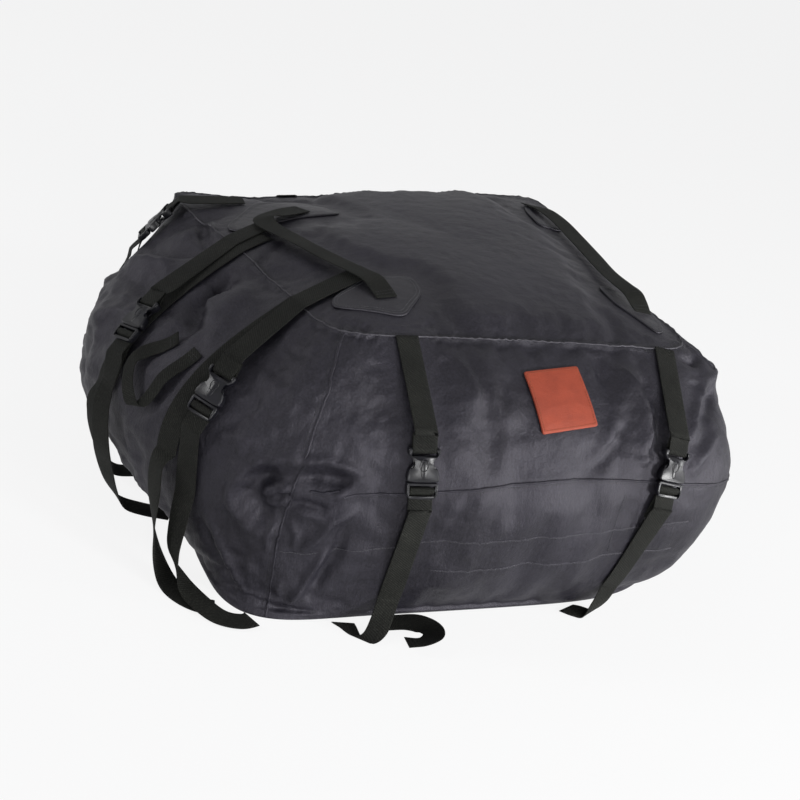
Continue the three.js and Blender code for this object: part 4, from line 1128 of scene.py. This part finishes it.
def buckles():
    """Each moulded half of a buckle with its edges eased and polished."""
    for node in sorted(NODES):
        if not node.endswith(("buckle_socket", "buckle_clip")):
            continue
        piece = new_object(node.replace("buckle", "moulded"), NODES[node].data.copy())
        mesh = piece.data
        mesh.materials.clear()
        mesh.materials.append(PLASTIC)
        welded = piece.modifiers.new("weld", "WELD")
        welded.merge_threshold = WELD_DISTANCE
        eased = piece.modifiers.new("eased", "BEVEL")
        eased.width = EASED_WIDTH
        eased.segments = 2
        eased.limit_method = "ANGLE"
        eased.angle_limit = EASED_FROM
        apply_modifiers(piece)
        shade_smooth(piece.data)
        piece.data.set_sharp_from_angle(angle=SHARP_FROM)
        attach(piece, piece_body(node))
        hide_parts(node)
        if node.endswith("socket"):
            press_mark(node)


def press_mark(socket):
    """The raised oval rim on a socket's outer face, laid on its curve."""
    spots, clip = (vertex_values(NODES[name].data, "co")
                   for name in (socket, socket.replace("socket", "clip")))
    centre = (spots.min(axis=0) + spots.max(axis=0)) / 2
    outwards = np.linalg.svd(spots - spots.mean(axis=0))[2][2]
    outwards = outwards * np.sign(outwards @ (centre - BAG_MIDDLE))
    along = clip.mean(axis=0) - centre
    along = unit(along - outwards * (along @ outwards))
    across = np.cross(outwards, along)
    face = tree_in_metres(NODES[socket].data)
    count, sides = MARK["places"], MARK["sides"]
    vertices, faces = [], []
    for k, a in enumerate(np.linspace(0, 2 * math.pi, count, endpoint=False)):
        away = along * (math.cos(a) * MARK["along"]) + across * (math.sin(a) * MARK["across"])
        hit = face.ray_cast(Vector(centre + away + outwards * 0.04), Vector(-outwards))[0]
        if hit is None:
            return
        for b in np.linspace(0, 2 * math.pi, sides, endpoint=False):
            rim = unit(away) * math.cos(b) + outwards * math.sin(b)
            vertices.append(np.array(hit) + rim * MARK["rim"])
        for j in range(sides):
            row, after, last = k * sides, (j + 1) % sides, (k + 1) % count * sides
            faces.append((row + j, row + after, last + after, last + j))
    piece = new_piece(f"{socket}_press_mark", vertices, faces, PLASTIC)
    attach(piece, piece_body(socket))


def piece_body(node):
    for body, members in frame["record"]["behaviour"]["bodies"].items():
        if node in members:
            return body
    return ROOT


# Stage

BACKGROUND_IN_GLOSS = 0.55
FLOOR_SHOWN = 0.86
AMBIENT = 0.16

# The camera's place in metres, its turns in degrees and its focal length in picture points.
CAMERA_PLACE = (-1.0880, -2.0075, 1.3070)
CAMERA_TURNS = {"yaw": -27.776, "pitch": 27.132, "roll": 13.743}
FOCAL_LENGTH, PICTURE_WIDTH, SENSOR_WIDTH = 1362.15, 800, 36


def background_seen(tree):
    """How much of the white background each kind of ray sees: in a gloss only some of it."""
    camera = add_node(tree, "ShaderNodeLightPath", output="Is Camera Ray")
    gloss = camera.beside("Is Glossy Ray") * BACKGROUND_IN_GLOSS
    seen = camera.math("MAXIMUM", camera, gloss)
    return seen.math("MAXIMUM", seen, camera.beside("Is Transmission Ray"))


def floor_material():
    """A pale floor: lit like paper where the object shades it and white elsewhere."""
    finish = Finish("pale_floor")
    diffuse = finish.node("ShaderNodeBsdfDiffuse", values={"Color": (0.93, 0.93, 0.935, 1)})
    paper = finish.node("ShaderNodeEmission", values={"Color": (1, 1, 1, 1), "Strength": 1.0})
    seen = background_seen(finish.tree) * FLOOR_SHOWN
    shown = finish.node("ShaderNodeMixShader", values={0: seen, 1: diffuse, 2: paper})
    finish.node("ShaderNodeOutputMaterial", values={"Surface": shown})
    return finish.material


def stage():
    bpy.ops.mesh.primitive_plane_add(size=40, location=(0, 0, -0.0005))
    floor = bpy.context.object
    floor.name = "studio_floor"
    floor.data.materials.append(floor_material())
    world = bpy.context.scene.world or bpy.data.worlds.new("studio")
    bpy.context.scene.world = world
    world.use_nodes = True
    tree = world.node_tree
    tree.nodes.clear()
    seen = background_seen(tree)
    ambient, white = (
        add_node(tree, "ShaderNodeBackground", values={"Color": colour, "Strength": strength})
        for colour, strength in (((0.9, 0.92, 1, 1), AMBIENT), ((1, 1, 1, 1), 1.0)))
    mixed = add_node(tree, "ShaderNodeMixShader", values={0: seen, 1: ambient, 2: white})
    add_node(tree, "ShaderNodeOutputWorld", values={"Surface": mixed})


def lamp(name, place, aim, size, power):
    light = bpy.data.lights.new(name, "AREA")
    light.shape = "RECTANGLE"
    light.size, light.size_y = size
    light.energy = power
    holder = new_object(name, light)
    holder.location = place
    holder.rotation_euler = (Vector(aim) - Vector(place)).to_track_quat("-Z", "Y").to_euler()


def camera():
    yaw, pitch, roll = (math.radians(turn) for turn in CAMERA_TURNS.values())
    forward = Vector((-math.sin(yaw) * math.cos(pitch), math.cos(yaw) * math.cos(pitch),
                      -math.sin(pitch)))
    right = Vector((math.cos(yaw), math.sin(yaw), 0))
    up = right.cross(forward)
    x = right * math.cos(roll) + up * math.sin(roll)
    y = up * math.cos(roll) - right * math.sin(roll)
    data = bpy.data.cameras.new("camera")
    data.sensor_width = SENSOR_WIDTH
    data.lens = SENSOR_WIDTH * FOCAL_LENGTH / PICTURE_WIDTH
    data.clip_end = 60
    holder = new_object("camera", data)
    turned = Matrix((x, y, -forward)).transposed().to_4x4()
    turned.translation = Vector(CAMERA_PLACE)
    holder.matrix_world = turned
    bpy.context.scene.camera = holder


straps()
seams()
for patch_name, patch_corners in PATCHES.items():
    handle_patch(patch_name, patch_corners)
leather_label()
buckles()
stage()
lamp("overhead", (-0.6, 1.2, 3.0), (0, 0, 0.3), (1.6, 1.6), 4)
lamp("front_low", (1.75, -3.1, 0.75), (0.05, -0.3, 0.25), (0.7, 0.6), 96)
lamp("front_high", (0.9, -2.7, 2.2), (0.1, -0.3, 0.3), (0.8, 0.8), 14)
lamp("front_left", (-1.1, -3.3, 0.8), (-0.3, -0.4, 0.2), (0.5, 0.5), 30)
lamp("right", (3.2, -1.7, 0.7), (0.2, -0.2, 0.25), (0.4, 0.8), 40)
lamp("left", (-2.9, 0.6, 1.5), (-0.4, -0.1, 0.25), (0.5, 0.9), 22)
camera()
bpy.context.scene.view_settings.view_transform = "Standard"
